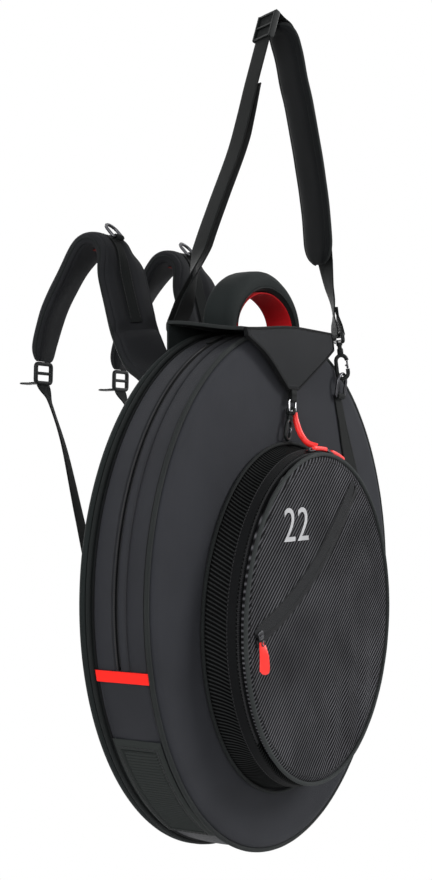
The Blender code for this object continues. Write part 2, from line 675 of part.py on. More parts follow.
def tri_glide(run, across):
    """The sliding adjuster: two rails, three bars over the webbing and one bar under it."""
    centre = run[GLIDE_STEPS]
    way = (run[GLIDE_STEPS + 1] - run[GLIDE_STEPS - 1]).normalized()
    out = across.cross(way)
    place = Matrix((across, way, out)).transposed().to_4x4()
    place.translation = centre
    half = WEB_WIDTH / 2 + RUN_GAP
    face = WEB_THICKNESS / 2 + RUN_GAP
    reach = face + GLIDE_RAIL
    length = GLIDE_LENGTH / 2
    parts = [box((half, -length, -reach), (half + GLIDE_RAIL, length, reach)),
             box((-half - GLIDE_RAIL, -length, -reach), (-half, length, reach))]
    over = half + GLIDE_RAIL / 2
    bar = GLIDE_RAIL - GLIDE_STEP
    for start in (-length + GLIDE_STEP, -GLIDE_RAIL / 2, length - GLIDE_RAIL - GLIDE_STEP):
        parts.append(box((-over, start, face), (over, start + GLIDE_RAIL, face + bar)))
    parts.append(box((-over, -GLIDE_RAIL, -face - bar), (over, GLIDE_RAIL, -face)))
    shape = joined(*parts)
    bmesh.ops.transform(shape, verts=shape.verts, matrix=place)
    finish("tri_glide", shape, "plastic", centre)


def d_ring(name, foot, top, width, origin):
    """A D-ring: a straight bar at the foot and an arch up to the top."""
    rise = (top - foot).length
    up = (top - foot).normalized()
    side = Vector((1, 0, 0))
    half = width / 2 - RING_WIRE
    route = [foot - side * half, foot, foot + side * half]
    for k in range(D_STEPS + 1):
        a = math.pi * k / D_STEPS
        route.append(foot + side * half * math.cos(a) + up * (rise - half + half * math.sin(a)))
    finish(name, tube(route, RING_WIRE, closed=True), "steel", origin)


def band(low, half_width, inner, rise=0):
    """A closed loop of webbing round a bar along X, its upper turn a rise above the lower one."""
    outer = inner + LOOP_WALL
    rings = []
    for k in range(ROUND_SIDES + 2):
        upper = k <= ROUND_SIDES / 2
        a = 2 * math.pi * (k if upper else k - 1) / ROUND_SIDES
        centre = low + Vector((0, 0, rise if upper else 0))
        out = Vector((0, math.cos(a), math.sin(a)))
        rings.append([centre + out * r + Vector((x, 0, 0)) for x, r in
                      ((-half_width, inner), (half_width, inner), (half_width, outer), (-half_width, outer))])
    if not rise:
        rings = [ring for k, ring in enumerate(rings) if k not in (ROUND_SIDES / 2 + 1, ROUND_SIDES + 1)]
    return loft(rings, closed=True)


def anchors():
    """The two D-rings, the webbing sewn to the panels that holds them, and the snap hooks."""
    half = D_RING_WIDTH / 2 - 2 * RING_WIRE - SEAT
    inner = RING_WIRE + SEAT
    foot_z = ANCHOR_Z - D_RING_HEIGHT + RING_WIRE
    top = Vector((ANCHOR_X, ANCHOR_Y, ANCHOR_Z))
    foot = Vector((ANCHOR_X, PANEL_FRONT - SEAT - LOOP_WALL - inner, foot_z))
    d_ring("d_ring_right", foot, top, D_RING_WIDTH, (0, 0, 0))
    low_z = foot_z - STRIP_LENGTH
    outline = [(ANCHOR_X - half, foot_z), (ANCHOR_X + half, foot_z),
               (ANCHOR_X + half + STRIP_SLANT + STRIP_FLARE, low_z), (ANCHOR_X - half + STRIP_SLANT, low_z)]
    strip = prism(outline, PANEL_FRONT - SEAT - LOOP_WALL, PANEL_FRONT - SEAT)
    finish("anchor_strip", joined(strip, band(foot, half, inner)), "black")
    left_top = Vector((LEFT_ANCHOR_X, LEFT_ANCHOR_Y, ANCHOR_Z))
    left_foot = Vector((LEFT_ANCHOR_X, BACK_FACE + SEAT + LOOP_WALL + inner, foot_z))
    d_ring("d_ring_left", left_foot, left_top, D_RING_WIDTH, REAR_HINGE)
    tab = box((LEFT_ANCHOR_X - half, BACK_FACE + SEAT, foot_z - BACK_TAB),
              (LEFT_ANCHOR_X + half, BACK_FACE + SEAT + LOOP_WALL, foot_z))
    finish("back_anchor", joined(tab, band(left_foot, half, inner)), "black", REAR_HINGE)
    along = strap_frame()[0]
    lean = Vector((0, 0, 1)) - along * HOOK_LEAN_SHARE
    right_place = hook_frame(top, STRAP_HOOK, RIGHT_BAR, lean, RING_WIRE)
    left_place = hook_frame(left_top, STRAP_HOOK, Vector((1, 0, 0)), Vector((0, 0, 1)), RING_WIRE)
    snap_hook("snap_hook_right", "hook_gate_right", STRAP_HOOK, right_place, (0, 0, 0))
    snap_hook("snap_hook_left", "hook_gate_left", STRAP_HOOK, left_place, REAR_HINGE)
    shoulder_strap(right_place, left_place)


def flap_hardware():
    """The webbing loop, wire ring, snap hook and red cord that hang from the flap's tip."""
    loop_half = LOOP_WIDTH / 2
    inner = RING_FINE + SEAT
    bar = Vector((0, (FLAP_FRONT + FLAP_BACK) / 2, FLAP_TIP_Z - SEAT - LOOP_WALL - inner - LOOP_RISE))
    finish("flap_loop", band(bar, loop_half, inner, LOOP_RISE), "black", FLAP_HINGE)
    half = loop_half + RING_FINE + SEAT
    low = bar - Vector((0, 0, RING_DROP))
    side = Vector((1, 0, 0))
    finish("flap_ring", tube([bar - side * half, bar + side * half, low + side * half, low - side * half],
                             RING_FINE, closed=True), "steel", FLAP_HINGE)
    eye_bar = low + Vector((FLAP_HOOK_X, 0, RING_FINE + SEAT + FLAP_HOOK["wire"]))
    up = Vector((FLAP_HOOK_LEAN_SHARE, 0, 1)).normalized()
    start = eye_bar - up * eye_height(FLAP_HOOK)
    bar_way = Vector((0, 1, 0))
    place = (start, bar_way, bar_way.cross(up), up)
    snap_hook("flap_hook", "flap_hook_gate", FLAP_HOOK, place, low + side * FLAP_HOOK_X)
    pull_cord()


def pull_cord():
    """The red cord that hangs from the ring, as a bevelled curve."""
    origin = Vector(FLAP_HINGE)
    route = smooth_path([(x, y, BAG_RADIUS + z) for x, y, z in CORD_ROUTE], CORD_STEPS)
    line = bpy.data.curves.new("pull_cord", "CURVE")
    line.dimensions = "3D"
    line.bevel_depth = CORD_RADIUS
    line.bevel_resolution = 2
    line.use_fill_caps = True
    spline = line.splines.new("POLY")
    spline.points.add(len(route) - 1)
    for point, place in zip(spline.points, route):
        point.co = (*(place - origin), 1)
    made = bpy.data.objects.new("pull_cord", line)
    bpy.context.scene.collection.objects.link(made)
    made.parent = bag
    made.location = origin
    line.materials.append(material("pull_cord", *LOOKS["red"]))


def square_arc(radius, height, y, half, start, end, centre=(0, 0, 0), steps=RING_STEPS):
    """A bar of rectangular section bent about an axis along Y."""
    outer = radius + height
    profile = [(radius, y - half), (outer, y - half), (outer, y + half), (radius, y + half)]
    return turned(profile, start, end, centre, steps)


def sliders():
    """Zip sliders with their pull tabs: two on the main zip, two on the pocket, one on the lid."""
    top = math.pi / 2
    r = GUSSET_OUT + RUN_GAP
    half = SLIDER_LENGTH / 2 / r
    for name, way in (("right", 1), ("left", -1)):
        middle = top - way * SLIDER_ANGLE
        origin = (0, ZIP_Y, 0)
        body = square_arc(r, SLIDER_HEIGHT, ZIP_Y, SLIDER_HALF, middle - half, middle + half)
        finish(f"main_slider_{name}", body, "plastic", origin)
        near = middle - way * (half + SEAT / r)
        pull = square_arc(r, PULL_THICKNESS, ZIP_Y, PULL_HALF, near, near - way * PULL_LENGTH / r)
        finish(f"main_pull_{name}", pull, "black", origin)
    slope = (POCKET_BASE_RADIUS - POCKET_RADIUS) / (PANEL_FRONT - POCKET_WALL_Y)
    r = POCKET_RADIUS + SLIDER_HALF * slope + RUN_GAP
    half = SLIDER_LENGTH / 2 / r
    between = (SLIDER_LENGTH + PULL_LENGTH + SEAT + PULL_SPACE) / r
    for name, middle in (("right", POCKET_SLIDER_RIGHT), ("left", POCKET_SLIDER_RIGHT + between)):
        origin = (0, POCKET_ZIP_Y, -POCKET_DROP)
        body = square_arc(r, SLIDER_HEIGHT, POCKET_ZIP_Y, SLIDER_HALF, middle - half, middle + half,
                          POCKET_CENTRE)
        finish(f"pocket_slider_{name}", body, "steel", origin)
        near = middle - half - SEAT / r
        pull = square_arc(r, PULL_THICKNESS, POCKET_ZIP_Y, PULL_HALF, near, near - PULL_LENGTH / r,
                          POCKET_CENTRE)
        finish(f"pocket_pull_{name}", pull, "red", origin)


def lid_slider():
    """The slider of the curved lid zip at its lower left end, and its hanging tab."""
    face = LID_FACE - RIM_ROUND / 2 - 2 * SEAT - SLOT_THICKNESS
    centre = Vector((SLOT_CENTRE_X, 0, SLOT_CENTRE_Z))
    a = SLOT_FROM + LID_SLIDER_SHARE * (SLOT_TO - SLOT_FROM)
    half = SLIDER_LENGTH / 2 / SLOT_RADIUS
    body = square_arc(SLOT_RADIUS - SLIDER_HALF, 2 * SLIDER_HALF, face - SLIDER_HEIGHT / 2, SLIDER_HEIGHT / 2,
                      a - half, a + half, centre, SLOT_STEPS)
    finish("lid_slider", body, "steel", centre + Vector((0, face, 0)))
    pin = centre + Vector((SLOT_RADIUS * math.cos(a), face - SLIDER_HEIGHT / 2 - PULL_THICKNESS / 2,
                           SLOT_RADIUS * math.sin(a) - SLIDER_HALF - PULL_PIN))
    size = Vector((LID_TAB_WIDTH / 2, PULL_THICKNESS, LID_TAB_LENGTH))
    finish("lid_tab", box(pin - Vector((size.x, 0, size.z)), pin + Vector((size.x, size.y, 0))), "red", pin)


def backpack(name, x):
    """One backpack strap: padded arch, ring, buckle with its lever, and lower webbing."""
    side = Vector((1, 0, 0))
    route = smooth_path([(x, y, BAG_RADIUS + z) for y, z in PACK_ROUTE], PACK_STEPS)
    shares = end_shares(PACK_END_SHARES, PACK_STEPS)
    widths = [PACK_WIDTH * max(s, PACK_END_WIDTH_SHARE) for s in shares]
    pad = ribbon(route, side, widths, [PACK_THICKNESS * s for s in shares], crown=PAD_CROWN_SHARE)
    finish(f"backpack_pad_{name}", pad, "cloth", REAR_HINGE)
    way = (route[-1] - route[-2]).normalized()
    top = route[-1] + way * (BUCKLE_WIRE + SEAT)
    low = top + way * BUCKLE_HEIGHT
    middle = (top + low) / 2
    w = PACK_WEB / 2 + BUCKLE_WIRE + SEAT
    frame = tube([top - side * w, top + side * w, low + side * w, low - side * w], BUCKLE_WIRE, closed=True)
    bar = tube([middle - side * w, middle + side * w], BUCKLE_WIRE)
    finish(f"buckle_{name}", joined(frame, bar), "plastic", REAR_HINGE)
    root = low + Vector((0, BUCKLE_WIRE + SEAT, 0))
    tip = root + Vector((0, LEVER_LENGTH, 0))
    finish(f"buckle_lever_{name}", ribbon([root, tip], side, PACK_WEB, LEVER_THICKNESS), "plastic", low)
    start = low + way * (BUCKLE_WIRE + SEAT)
    span = Vector((x, BACK_FACE + SEAT + WEB_THICKNESS / 2, PACK_FOOT_RISE - BAG_RADIUS)) - start
    tail = [start + Vector((0, span.y * a, span.z * b)) for a, b in (*PACK_TAIL_SHARES, (1, 1))]
    webbing = ribbon(smooth_path([start, *tail], PACK_TAIL_STEPS), side, PACK_WEB, WEB_THICKNESS)
    finish(f"backpack_webbing_{name}", webbing, "black", REAR_HINGE)
    way = tangents(route)[RING_SEAT_STEPS]
    out = side.cross(way)
    foot = route[RING_SEAT_STEPS] + out * (PACK_THICKNESS * CROWN_SHARE / 2 + RING_WIRE + RUN_GAP)
    d_ring(f"backpack_ring_{name}", foot, foot + way * PACK_RING_HEIGHT, PACK_RING_WIDTH, foot)


body_shell()
roof()
handle()
pocket()
anchors()
flap_hardware()
sliders()
lid_slider()
backpack("left", -PACK_SPACING / 2)
backpack("right", PACK_SPACING / 2)
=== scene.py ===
# %% [markdown]
# A round padded cymbal bag, hung by its shoulder strap. The rigid model made before
# this script gives every place and size in metres. Here each of its plain solids gets
# what the real bag has: woven cloth, piping, zips, stitching, webbing and hardware.

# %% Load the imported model
import math
import bpy
import bmesh
from mathutils import Matrix, Vector, noise


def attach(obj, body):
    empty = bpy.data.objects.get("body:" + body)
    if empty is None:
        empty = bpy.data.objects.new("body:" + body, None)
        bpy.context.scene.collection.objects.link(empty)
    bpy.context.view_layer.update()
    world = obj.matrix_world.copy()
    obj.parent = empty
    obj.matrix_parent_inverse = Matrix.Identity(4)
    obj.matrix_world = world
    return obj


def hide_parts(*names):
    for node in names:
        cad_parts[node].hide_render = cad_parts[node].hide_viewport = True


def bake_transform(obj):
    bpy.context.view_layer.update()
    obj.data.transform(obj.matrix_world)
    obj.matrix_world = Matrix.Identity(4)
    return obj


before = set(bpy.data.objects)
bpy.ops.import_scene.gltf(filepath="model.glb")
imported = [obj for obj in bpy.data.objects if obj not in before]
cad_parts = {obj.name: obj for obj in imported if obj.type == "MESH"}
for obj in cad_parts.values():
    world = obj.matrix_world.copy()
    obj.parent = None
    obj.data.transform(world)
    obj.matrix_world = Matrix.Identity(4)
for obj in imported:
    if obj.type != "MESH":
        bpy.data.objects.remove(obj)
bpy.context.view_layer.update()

# %% [markdown]
# The model's origin is the point where the shoulder strap is hung up. The bag is
# easier to draw about the centre of its front rim, so everything below is drawn
# there and moved by this one vector when a piece is finished. The other sizes are
# the same named values that the solids were made from.

# %% Shared places and sizes
HANG = Vector((0.0440, 0.0375, 0.6700))
SEAT = 0.0003
BAG_RADIUS = 0.3010
PIPING = 0.0026
RIM = BAG_RADIUS - PIPING
GUSSET_OUT = RIM - PIPING / 2
GUSSET_IN = GUSSET_OUT - 0.0080
PANEL_FRONT, PANEL_BACK = -0.0050, 0.0026
PANEL_RADIUS = RIM - PIPING + 0.0006
ZIP_Y = 0.0399
BAG_DEPTH = 0.0700
BACK_FRONT, BACK_FACE = 0.0674, 0.0837
ROOF_UNDER, ROOF_TOP = 0.3016, 0.3052
POCKET = Vector((0, 0, -0.0330))
POCKET_RADIUS, POCKET_BASE = 0.1900, 0.1985
POCKET_ZIP_Y = -0.0432
LID_FACE = -0.0516
SLOT_CENTRE = Vector((-0.3000, 0, 0.4470))
SLOT_RADIUS = 0.5040
MIDDLE = Vector()
SIDE, INWARD, UP = Vector((1, 0, 0)), Vector((0, 1, 0)), Vector((0, 0, 1))
TURN = 2 * math.pi
FRONT, REAR, LID = "front_half", "rear_half", "pocket_cover"


def linked(name, data):
    """A new object in the scene."""
    made = bpy.data.objects.new(name, data)
    bpy.context.scene.collection.objects.link(made)
    return made


# %% [markdown]
# The photograph was taken from the bag's left front, a little under its middle and
# with a long lens. The camera's place and lens were fitted to the rim's ellipse. A
# camera looks along its own -Z axis, so `to_track_quat` turns the way it looks into
# a rotation.

# %% Camera
AZIMUTH, ELEVATION = math.radians(-60.34), math.radians(-1.10)
camera = linked("camera", bpy.data.cameras.new("camera"))
camera.location = (-1.5592, -0.8095, -0.5310)
view = Vector((-math.sin(AZIMUTH) * math.cos(ELEVATION), math.cos(AZIMUTH) * math.cos(ELEVATION),
               -math.sin(ELEVATION)))
camera.rotation_euler = view.to_track_quat("-Z", "Y").to_euler()
camera.data.sensor_width = 36
camera.data.lens = 59.36
camera.data.clip_start = 0.05
bpy.context.scene.camera = camera
print("camera looks along", [round(c, 3) for c in view])

# %% [markdown]
# Black cloth needs large soft lamps: a small lamp gives hard dots of shine, and a
# strong one would turn black to grey. One large lamp stands in front to the right,
# one fills from the left, one from above gives the roof and the straps an edge, and
# one lights the back.

# %% Lamps
LAMPS = [("key", (1.9, -2.4, 1.0), 1.3, 105), ("fill", (-3.0, -0.7, 0.5), 2.2, 92),
         ("top", (-0.4, 0.9, 2.4), 1.6, 20), ("rear", (1.8, 2.6, 0.3), 2.2, 70)]
AIM = Vector((0, 0, -0.55))
for name, place, size, power in LAMPS:
    lamp = linked(name, bpy.data.lights.new(name, "AREA"))
    lamp.data.shape = "SQUARE"
    lamp.data.size = size
    lamp.data.energy = power
    lamp.location = place
    lamp.rotation_euler = (AIM - Vector(place)).to_track_quat("-Z", "Y").to_euler()
print("lamps:", len(LAMPS))

# %% [markdown]
# The world, the floor and every material are graphs of nodes. A few helpers keep
# them short: one makes a node and gives each input a value or joins it to a socket,
# and the others make the kinds of node that are needed most.

# %% Node helpers
def fed(tree, made, inputs):
    for key, value in inputs.items():
        if isinstance(value, bpy.types.NodeSocket):
            tree.links.new(value, made.inputs[key])
        else:
            made.inputs[key].default_value = value
    return made


def new_node(tree, kind, inputs=None, **settings):
    made = tree.nodes.new("ShaderNode" + kind)
    for key, value in settings.items():
        setattr(made, key, value)
    return fed(tree, made, inputs or {})


def sums(tree, operation, *values):
    return new_node(tree, "Math", dict(enumerate(values)), operation=operation).outputs[0]


def mixed(tree, share, first, second):
    """One shader or the other, by a share."""
    return new_node(tree, "MixShader", {0: share, 1: first, 2: second}).outputs[0]


def blended(tree, share, first, second, kind="MIX"):
    """One colour or the other, by a share."""
    return new_node(tree, "Mix", {"Factor": share, "A": first, "B": second}, data_type="RGBA",
                blend_type=kind).outputs["Result"]


def emptied(owner):
    owner.use_nodes = True
    owner.node_tree.nodes.clear()
    return owner.node_tree


# %% [markdown]
# The photograph's background is plain white. A white world would flood the bag with
# light, so only rays that come straight from the camera, or that metal mirrors, see
# white. All other rays see a dim grey, which is the soft light of a studio.

# %% World
WHITE = (1, 1, 1, 1)
AMBIENT = 0.20
world = bpy.data.worlds.new("studio")
bpy.context.scene.world = world
tree = emptied(world)
rays = new_node(tree, "LightPath").outputs
through = sums(tree, "MAXIMUM", rays["Is Glossy Ray"], rays["Is Transmission Ray"])
seen = sums(tree, "MAXIMUM", rays["Is Camera Ray"], through)
dim = new_node(tree, "Background", {"Color": (0.95, 0.97, 1, 1), "Strength": AMBIENT})
white = new_node(tree, "Background", {"Color": WHITE})
new_node(tree, "OutputWorld", {"Surface": mixed(tree, seen, dim.outputs[0], white.outputs[0])})
bpy.context.scene.view_settings.view_transform = "Standard"

# %% [markdown]
# The bag hangs, so the floor is well below it. It is one large square that the
# camera sees as white, like the world, so that no horizon shows. From below it is
# clear, so that it never hides the bag.

# %% Floor
FLOOR_DROP = 1.25
form = bmesh.new()
bmesh.ops.create_grid(form, x_segments=1, y_segments=1, size=9)
bmesh.ops.translate(form, verts=form.verts, vec=UP * -FLOOR_DROP)
mesh = bpy.data.meshes.new("floor")
form.to_mesh(mesh)
form.free()
floor = linked("floor", mesh)
pale = bpy.data.materials.new("pale floor")
tree = emptied(pale)
paint = new_node(tree, "BsdfDiffuse", {"Color": (0.80, 0.80, 0.80, 1)}).outputs[0]
glow = new_node(tree, "Emission", {"Color": WHITE}).outputs[0]
top = mixed(tree, new_node(tree, "LightPath").outputs["Is Camera Ray"], paint, glow)
under = new_node(tree, "NewGeometry").outputs["Backfacing"]
clear = new_node(tree, "BsdfTransparent").outputs[0]
new_node(tree, "OutputMaterial", {"Surface": mixed(tree, under, top, clear)})
mesh.materials.append(pale)

# %% [markdown]
# Cloth is recognised by its threads. Three patterns are enough for this bag: a plain
# weave for the nylon, a rib for webbing, tape and piping, and a diagonal rib for the
# pocket. Each is a node group, built once, that turns a place on the surface into a
# height from 0 to 1. The materials use the height for both bump and colour.

# %% Node groups for the weaves
def group(name, inputs, outputs):
    made = bpy.data.node_groups.new(name, "ShaderNodeTree")
    for label, kind in inputs.items():
        made.interface.new_socket(label, in_out="INPUT", socket_type="NodeSocket" + kind)
    for label in outputs:
        made.interface.new_socket(label, in_out="OUTPUT", socket_type="NodeSocketFloat")
    return made, made.nodes.new("NodeGroupInput").outputs, made.nodes.new("NodeGroupOutput")


def weave_group(name, slant, cross_depth, narrow=1.0):
    """Ridges along a slanted line, crossed by finer threads of a given share of their height."""
    made, start, end = group(name, {"Place": "Vector", "Pitch": "Float", "Thread": "Float"}, ["Height"])

    def do(operation, *values):
        return sums(made, operation, *values)

    split = new_node(made, "SeparateXYZ", {0: start["Place"]}).outputs
    x, y, c, s = split["X"], split["Y"], math.cos(slant), math.sin(slant)
    run = do("ADD", do("MULTIPLY", x, c), do("MULTIPLY", y, s))
    along = do("SUBTRACT", do("MULTIPLY", y, c), do("MULTIPLY", x, s))
    ridge = do("SINE", do("MULTIPLY", do("DIVIDE", run, start["Pitch"]), TURN))
    turn = do("ADD", do("DIVIDE", along, start["Thread"]), do("MULTIPLY", do("SIGN", ridge), 0.25))
    thread = do("SINE", do("MULTIPLY", turn, TURN))
    high = do("MULTIPLY", do("POWER", do("ABSOLUTE", ridge), narrow), 1 - cross_depth)
    low = do("MULTIPLY", do("ABSOLUTE", thread), cross_depth)
    fed(made, end, {"Height": do("ADD", high, low)})
    return made


PLAIN = weave_group("plain weave", 0, 0.5)
RIB = weave_group("rib weave", math.pi / 2, 0.25)
DIAGONAL = weave_group("diagonal rib", 0, 0.08, 5.0)
print("weaves:", [g.name for g in (PLAIN, RIB, DIAGONAL)])

# %% [markdown]
# No cloth has one even colour. A second group mixes two sizes of noise into a mask
# for faded, dusty and rubbed places. It reads Object coordinates, so it doesn't
# repeat along a strap as its own UV map would.

# %% Node group for age
AGE, start, end = group("age", {"Place": "Vector", "Size": "Float"}, ["Mask", "Fine"])
clouds = new_node(AGE, "TexNoise", {"Vector": start["Place"], "Scale": start["Size"], "Detail": 4})
fine_size = sums(AGE, "MULTIPLY", start["Size"], 60)
lint = new_node(AGE, "TexNoise", {"Vector": start["Place"], "Scale": fine_size, "Detail": 2})
spread = new_node(AGE, "MapRange", {"Value": clouds.outputs["Fac"], "From Min": 0.35, "From Max": 0.70})
fed(AGE, end, {"Mask": spread.outputs["Result"], "Fine": lint.outputs["Fac"]})

# %% [markdown]
# One helper makes every cloth. It reads the weave's height, paints shade into the
# valleys and light onto the ridges, fades the colour by the age mask, and bumps the
# normal by the same height, so that the painted shade and the relief always agree.
# Black nylon also has a faint sheen at a glancing angle, which is a number on the
# shader itself. A second helper makes moulded parts and metal, where the age group
# gives the grain, the dull patches and the scratches.

# %% Materials
def begun(name, colour, age_size):
    """A material with its texture coordinates and its age masks."""
    made = bpy.data.materials.new(name)
    made.use_nodes = True
    made.diffuse_color = (*colour, 1)
    tree = made.node_tree
    places = new_node(tree, "TexCoord").outputs
    age = new_node(tree, "Group", {"Size": age_size, "Place": places["Object"]}, node_tree=AGE).outputs
    return made, tree, places, age


def dress(tree, colour, mask, roughs, relief, strength, depth, more):
    """Joins colour, roughness and bump to the material's own shader."""
    gloss = new_node(tree, "MapRange", {"Value": mask, "To Min": roughs[0], "To Max": roughs[1]})
    bump = new_node(tree, "Bump", {"Strength": strength, "Distance": depth, "Height": relief})
    fed(tree, tree.nodes["Principled BSDF"],
        {"Base Color": colour, "Roughness": gloss.outputs["Result"], "Normal": bump.outputs[0], **more})


def cloth(name, colour, weave, pitch, thread, bump=0.0003, valley_shade=0.55, fade=0.2, rough=0.8, turn=0.0,
          sheen=0.02, shine=0.08):
    made, tree, places, age = begun(name, colour, 14.0)
    turned_place = new_node(tree, "Mapping", {"Vector": places["UV"], "Rotation": (0, 0, turn)}).outputs[0]
    height = new_node(tree, "Group", {"Place": turned_place, "Pitch": pitch, "Thread": thread},
                  node_tree=weave).outputs["Height"]
    # Painted shade in the weave's valleys and painted light on its ridges, set by the weave's height.
    dark = (*(c * valley_shade for c in colour), 1)
    light = (*(min(1, c * (2 - valley_shade)) for c in colour), 1)
    shade = blended(tree, height, dark, light)
    faded = blended(tree, age["Mask"], shade, (1 - fade, 1 - fade, 1 - fade, 1), "MULTIPLY")
    relief = sums(tree, "ADD", height, sums(tree, "MULTIPLY", age["Fine"], 0.4))
    dress(tree, faded, height, (rough + 0.1, rough - 0.1), relief, 0.8, bump,
          {"Sheen Weight": sheen, "Sheen Roughness": 0.5, "Specular IOR Level": shine})
    return made


def solid(name, colour, rough, metallic=0.0, grain=0.00004, size=40.0, shine=0.5):
    made, tree, places, age = begun(name, colour, size)
    light = (*(min(1, c * 1.5) for c in colour), 1)
    shade = blended(tree, sums(tree, "MULTIPLY", age["Mask"], 0.5), (*colour, 1), light)
    dress(tree, shade, age["Mask"], (rough, rough + 0.12), age["Fine"], 0.5, grain,
          {"Metallic": metallic, "Specular IOR Level": shine})
    return made


NYLON = (PLAIN, 0.0011, 0.0011, 0.00012, 0.75)
PADDED = (PLAIN, 0.0012, 0.0012, 0.00016, 0.7)
SMOOTHED = (PLAIN, 0.0009, 0.0009, 0.0001, 0.7)
BOUND = (RIB, 0.0016, 0.0010, 0.0002, 0.6)
SHELL = cloth("shell nylon", (0.0220, 0.0230, 0.0272), *NYLON)
GUSSET_CLOTH = cloth("gusset nylon", (0.0158, 0.0166, 0.0200), *NYLON, rough=0.62, shine=0.15)
FLAP_CLOTH = cloth("flap cloth", (0.0122, 0.0130, 0.0146), *NYLON)
TRIM = cloth("trim cloth", (0.0095, 0.0120, 0.0120), PLAIN, 0.0009, 0.0009, 0.00012, 0.7)
PAD_CLOTH = cloth("pad cloth", (0.0050, 0.0055, 0.0060), *PADDED)
PACK_CLOTH = cloth("backpack pad cloth", (0.0120, 0.0125, 0.0140), *PADDED)
RIBBED = cloth("ribbed pocket cloth", (0.060, 0.060, 0.065), DIAGONAL, 0.0092, 0.0012, 0.0006, 0.02, 0.45,
               0.60, math.radians(49.4), 0.0, 0.015)
# The wall cloth's very dark colour is partly its own and partly painted shade, for the shade that lies on the pocket's
# side wall.
SHADED_WALL_RIB = cloth("ribbed wall cloth", (0.0120, 0.0128, 0.0128), DIAGONAL, 0.0088, 0.0014, 0.0006, 0.04, 0.2,
                 0.60, math.radians(75), 0.0, 0.015)
SMOOTH = cloth("smooth zip facing", (0.0062, 0.0066, 0.0078), *SMOOTHED, rough=0.62)
WEBBING = cloth("webbing", (0.0052, 0.0060, 0.0060), RIB, 0.0022, 0.0016, 0.0003, 0.55)
BINDING = cloth("binding", (0.0100, 0.0115, 0.0115), *BOUND)
EDGE_BINDING = cloth("edge binding", (0.0180, 0.0200, 0.0200), *BOUND)
RIM_BINDING = cloth("pocket rim binding", (0.0280, 0.0310, 0.0310), *BOUND)
# A near-black cloth: the pocket zip's own facing, and also painted shade on the flap's hem and painted shadow in the
# seams inside the rims.
FACING_AND_SHADE = cloth("zip facing and painted shade", (0.0035, 0.0038, 0.0042), *SMOOTHED)
TAPE = cloth("zip tape", (0.0040, 0.0045, 0.0050), RIB, 0.0013, 0.0010, 0.0001, 0.6)
RED_TAPE = cloth("red tape", (0.90, 0.020, 0.014), RIB, 0.0015, 0.0011, 0.0002, 0.85, 0.06, 0.6)
RED_LINING = cloth("red lining", (0.52, 0.010, 0.014), PLAIN, 0.0012, 0.0012, 0.0001, 0.85, 0.1, 0.8)
RED_LABEL = cloth("dark red lining", (0.10, 0.008, 0.006), PLAIN, 0.0012, 0.0012, 0.0001, 0.8, 0.1, 0.8)
PLASTIC = solid("satin black plastic", (0.005, 0.006, 0.006), 0.42, shine=0.16)
COIL = solid("zip coil nylon", (0.003, 0.003, 0.004), 0.5)
RUBBER = solid("moulded guard", (0.0125, 0.0148, 0.0140), 0.70, shine=0.2)
STEEL = solid("polished steel", (0.62, 0.62, 0.64), 0.16, 1.0, 0.00001, 90.0)
DARK_STEEL = solid("dark steel", (0.06, 0.06, 0.065), 0.28, 1.0, 0.00001, 90.0)
PRINT = solid("silver print", (0.36, 0.36, 0.37), 0.45, 0.0, 0.00003, 60.0)
THREAD = solid("black thread", (0.008, 0.008, 0.009), 0.8)
RED_CORD = solid("red cord tube", (0.86, 0.018, 0.014), 0.42, 0.0, 0.00005, 80.0)
RED_RUBBER = solid("red pull tab", (0.90, 0.022, 0.016), 0.38, 0.0, 0.00004, 80.0)
print("materials:", len(bpy.data.materials))

# %% [markdown]
# Most pieces of a bag are strips and skins, so one way of shaping serves them all:
# start from a flat grid of squares and move every point to its place on the piece.
# The grid's own UV map, scaled to metres, then gives every weave its true size.

# %% Shaping helpers
def shaped(columns, rows, place, size, ends=False):
    """A grid moved to place(u, v), with UVs in metres; meeting edges are merged, open ends may be filled."""
    form = bmesh.new()
    uv = form.loops.layers.uv.new("UVMap")
    bmesh.ops.create_grid(form, x_segments=columns, y_segments=rows, size=0.5, calc_uvs=True)
    for vert in form.verts:
        vert.co = place(vert.co.x + 0.5, vert.co.y + 0.5)
    for face in form.faces:
        for loop in face.loops:
            loop[uv].uv = (loop[uv].uv.x * size[0], loop[uv].uv.y * size[1])
    bmesh.ops.remove_doubles(form, verts=form.verts, dist=0.00001)
    if ends:
        bmesh.ops.holes_fill(form, edges=[edge for edge in form.edges if edge.is_boundary], sides=0)
    bmesh.ops.recalc_face_normals(form, faces=form.faces)
    return form


def finish(name, form, look, body, slot, replaces=(), smooth=True, sharp=40):
    """Moves a form from the rim's centre to the model's frame and makes it a piece on a body; given a tuple instead of
    a body's name, it is left in the model's frame, on no body.
    """
    bmesh.ops.translate(form, verts=form.verts, vec=-HANG)
    mesh = bpy.data.meshes.new(name)
    form.to_mesh(mesh)
    form.free()
    piece = linked(name, mesh)
    mesh.materials.append(look)
    if smooth:
        mesh.shade_smooth()
        mesh.set_sharp_from_angle(angle=math.radians(sharp))
    if isinstance(body, str):
        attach(piece, body)
    else:
        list(body[:2])
        Vector(body[2]) - HANG
        Vector(body[3]) - HANG
        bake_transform(piece)
    if replaces:
        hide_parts(*replaces)


def curve_through(points, count):
    """A Catmull-Rom curve through the points, the same as the solids were made with."""
    points = [Vector(p) for p in points]
    ends = [2 * points[0] - points[1]] + points + [2 * points[-1] - points[-2]]
    found = []
    for k in range(count + 1):
        t = k / count * (len(points) - 1)
        i = min(int(t), len(points) - 2)
        u = t - i
        a, b, c, d = ends[i:i + 4]
        found.append(0.5 * (2 * b + (c - a) * u + (2 * a - 5 * b + 4 * c - d) * u ** 2
                            + (3 * b - a - 3 * c + d) * u ** 3))
    return found


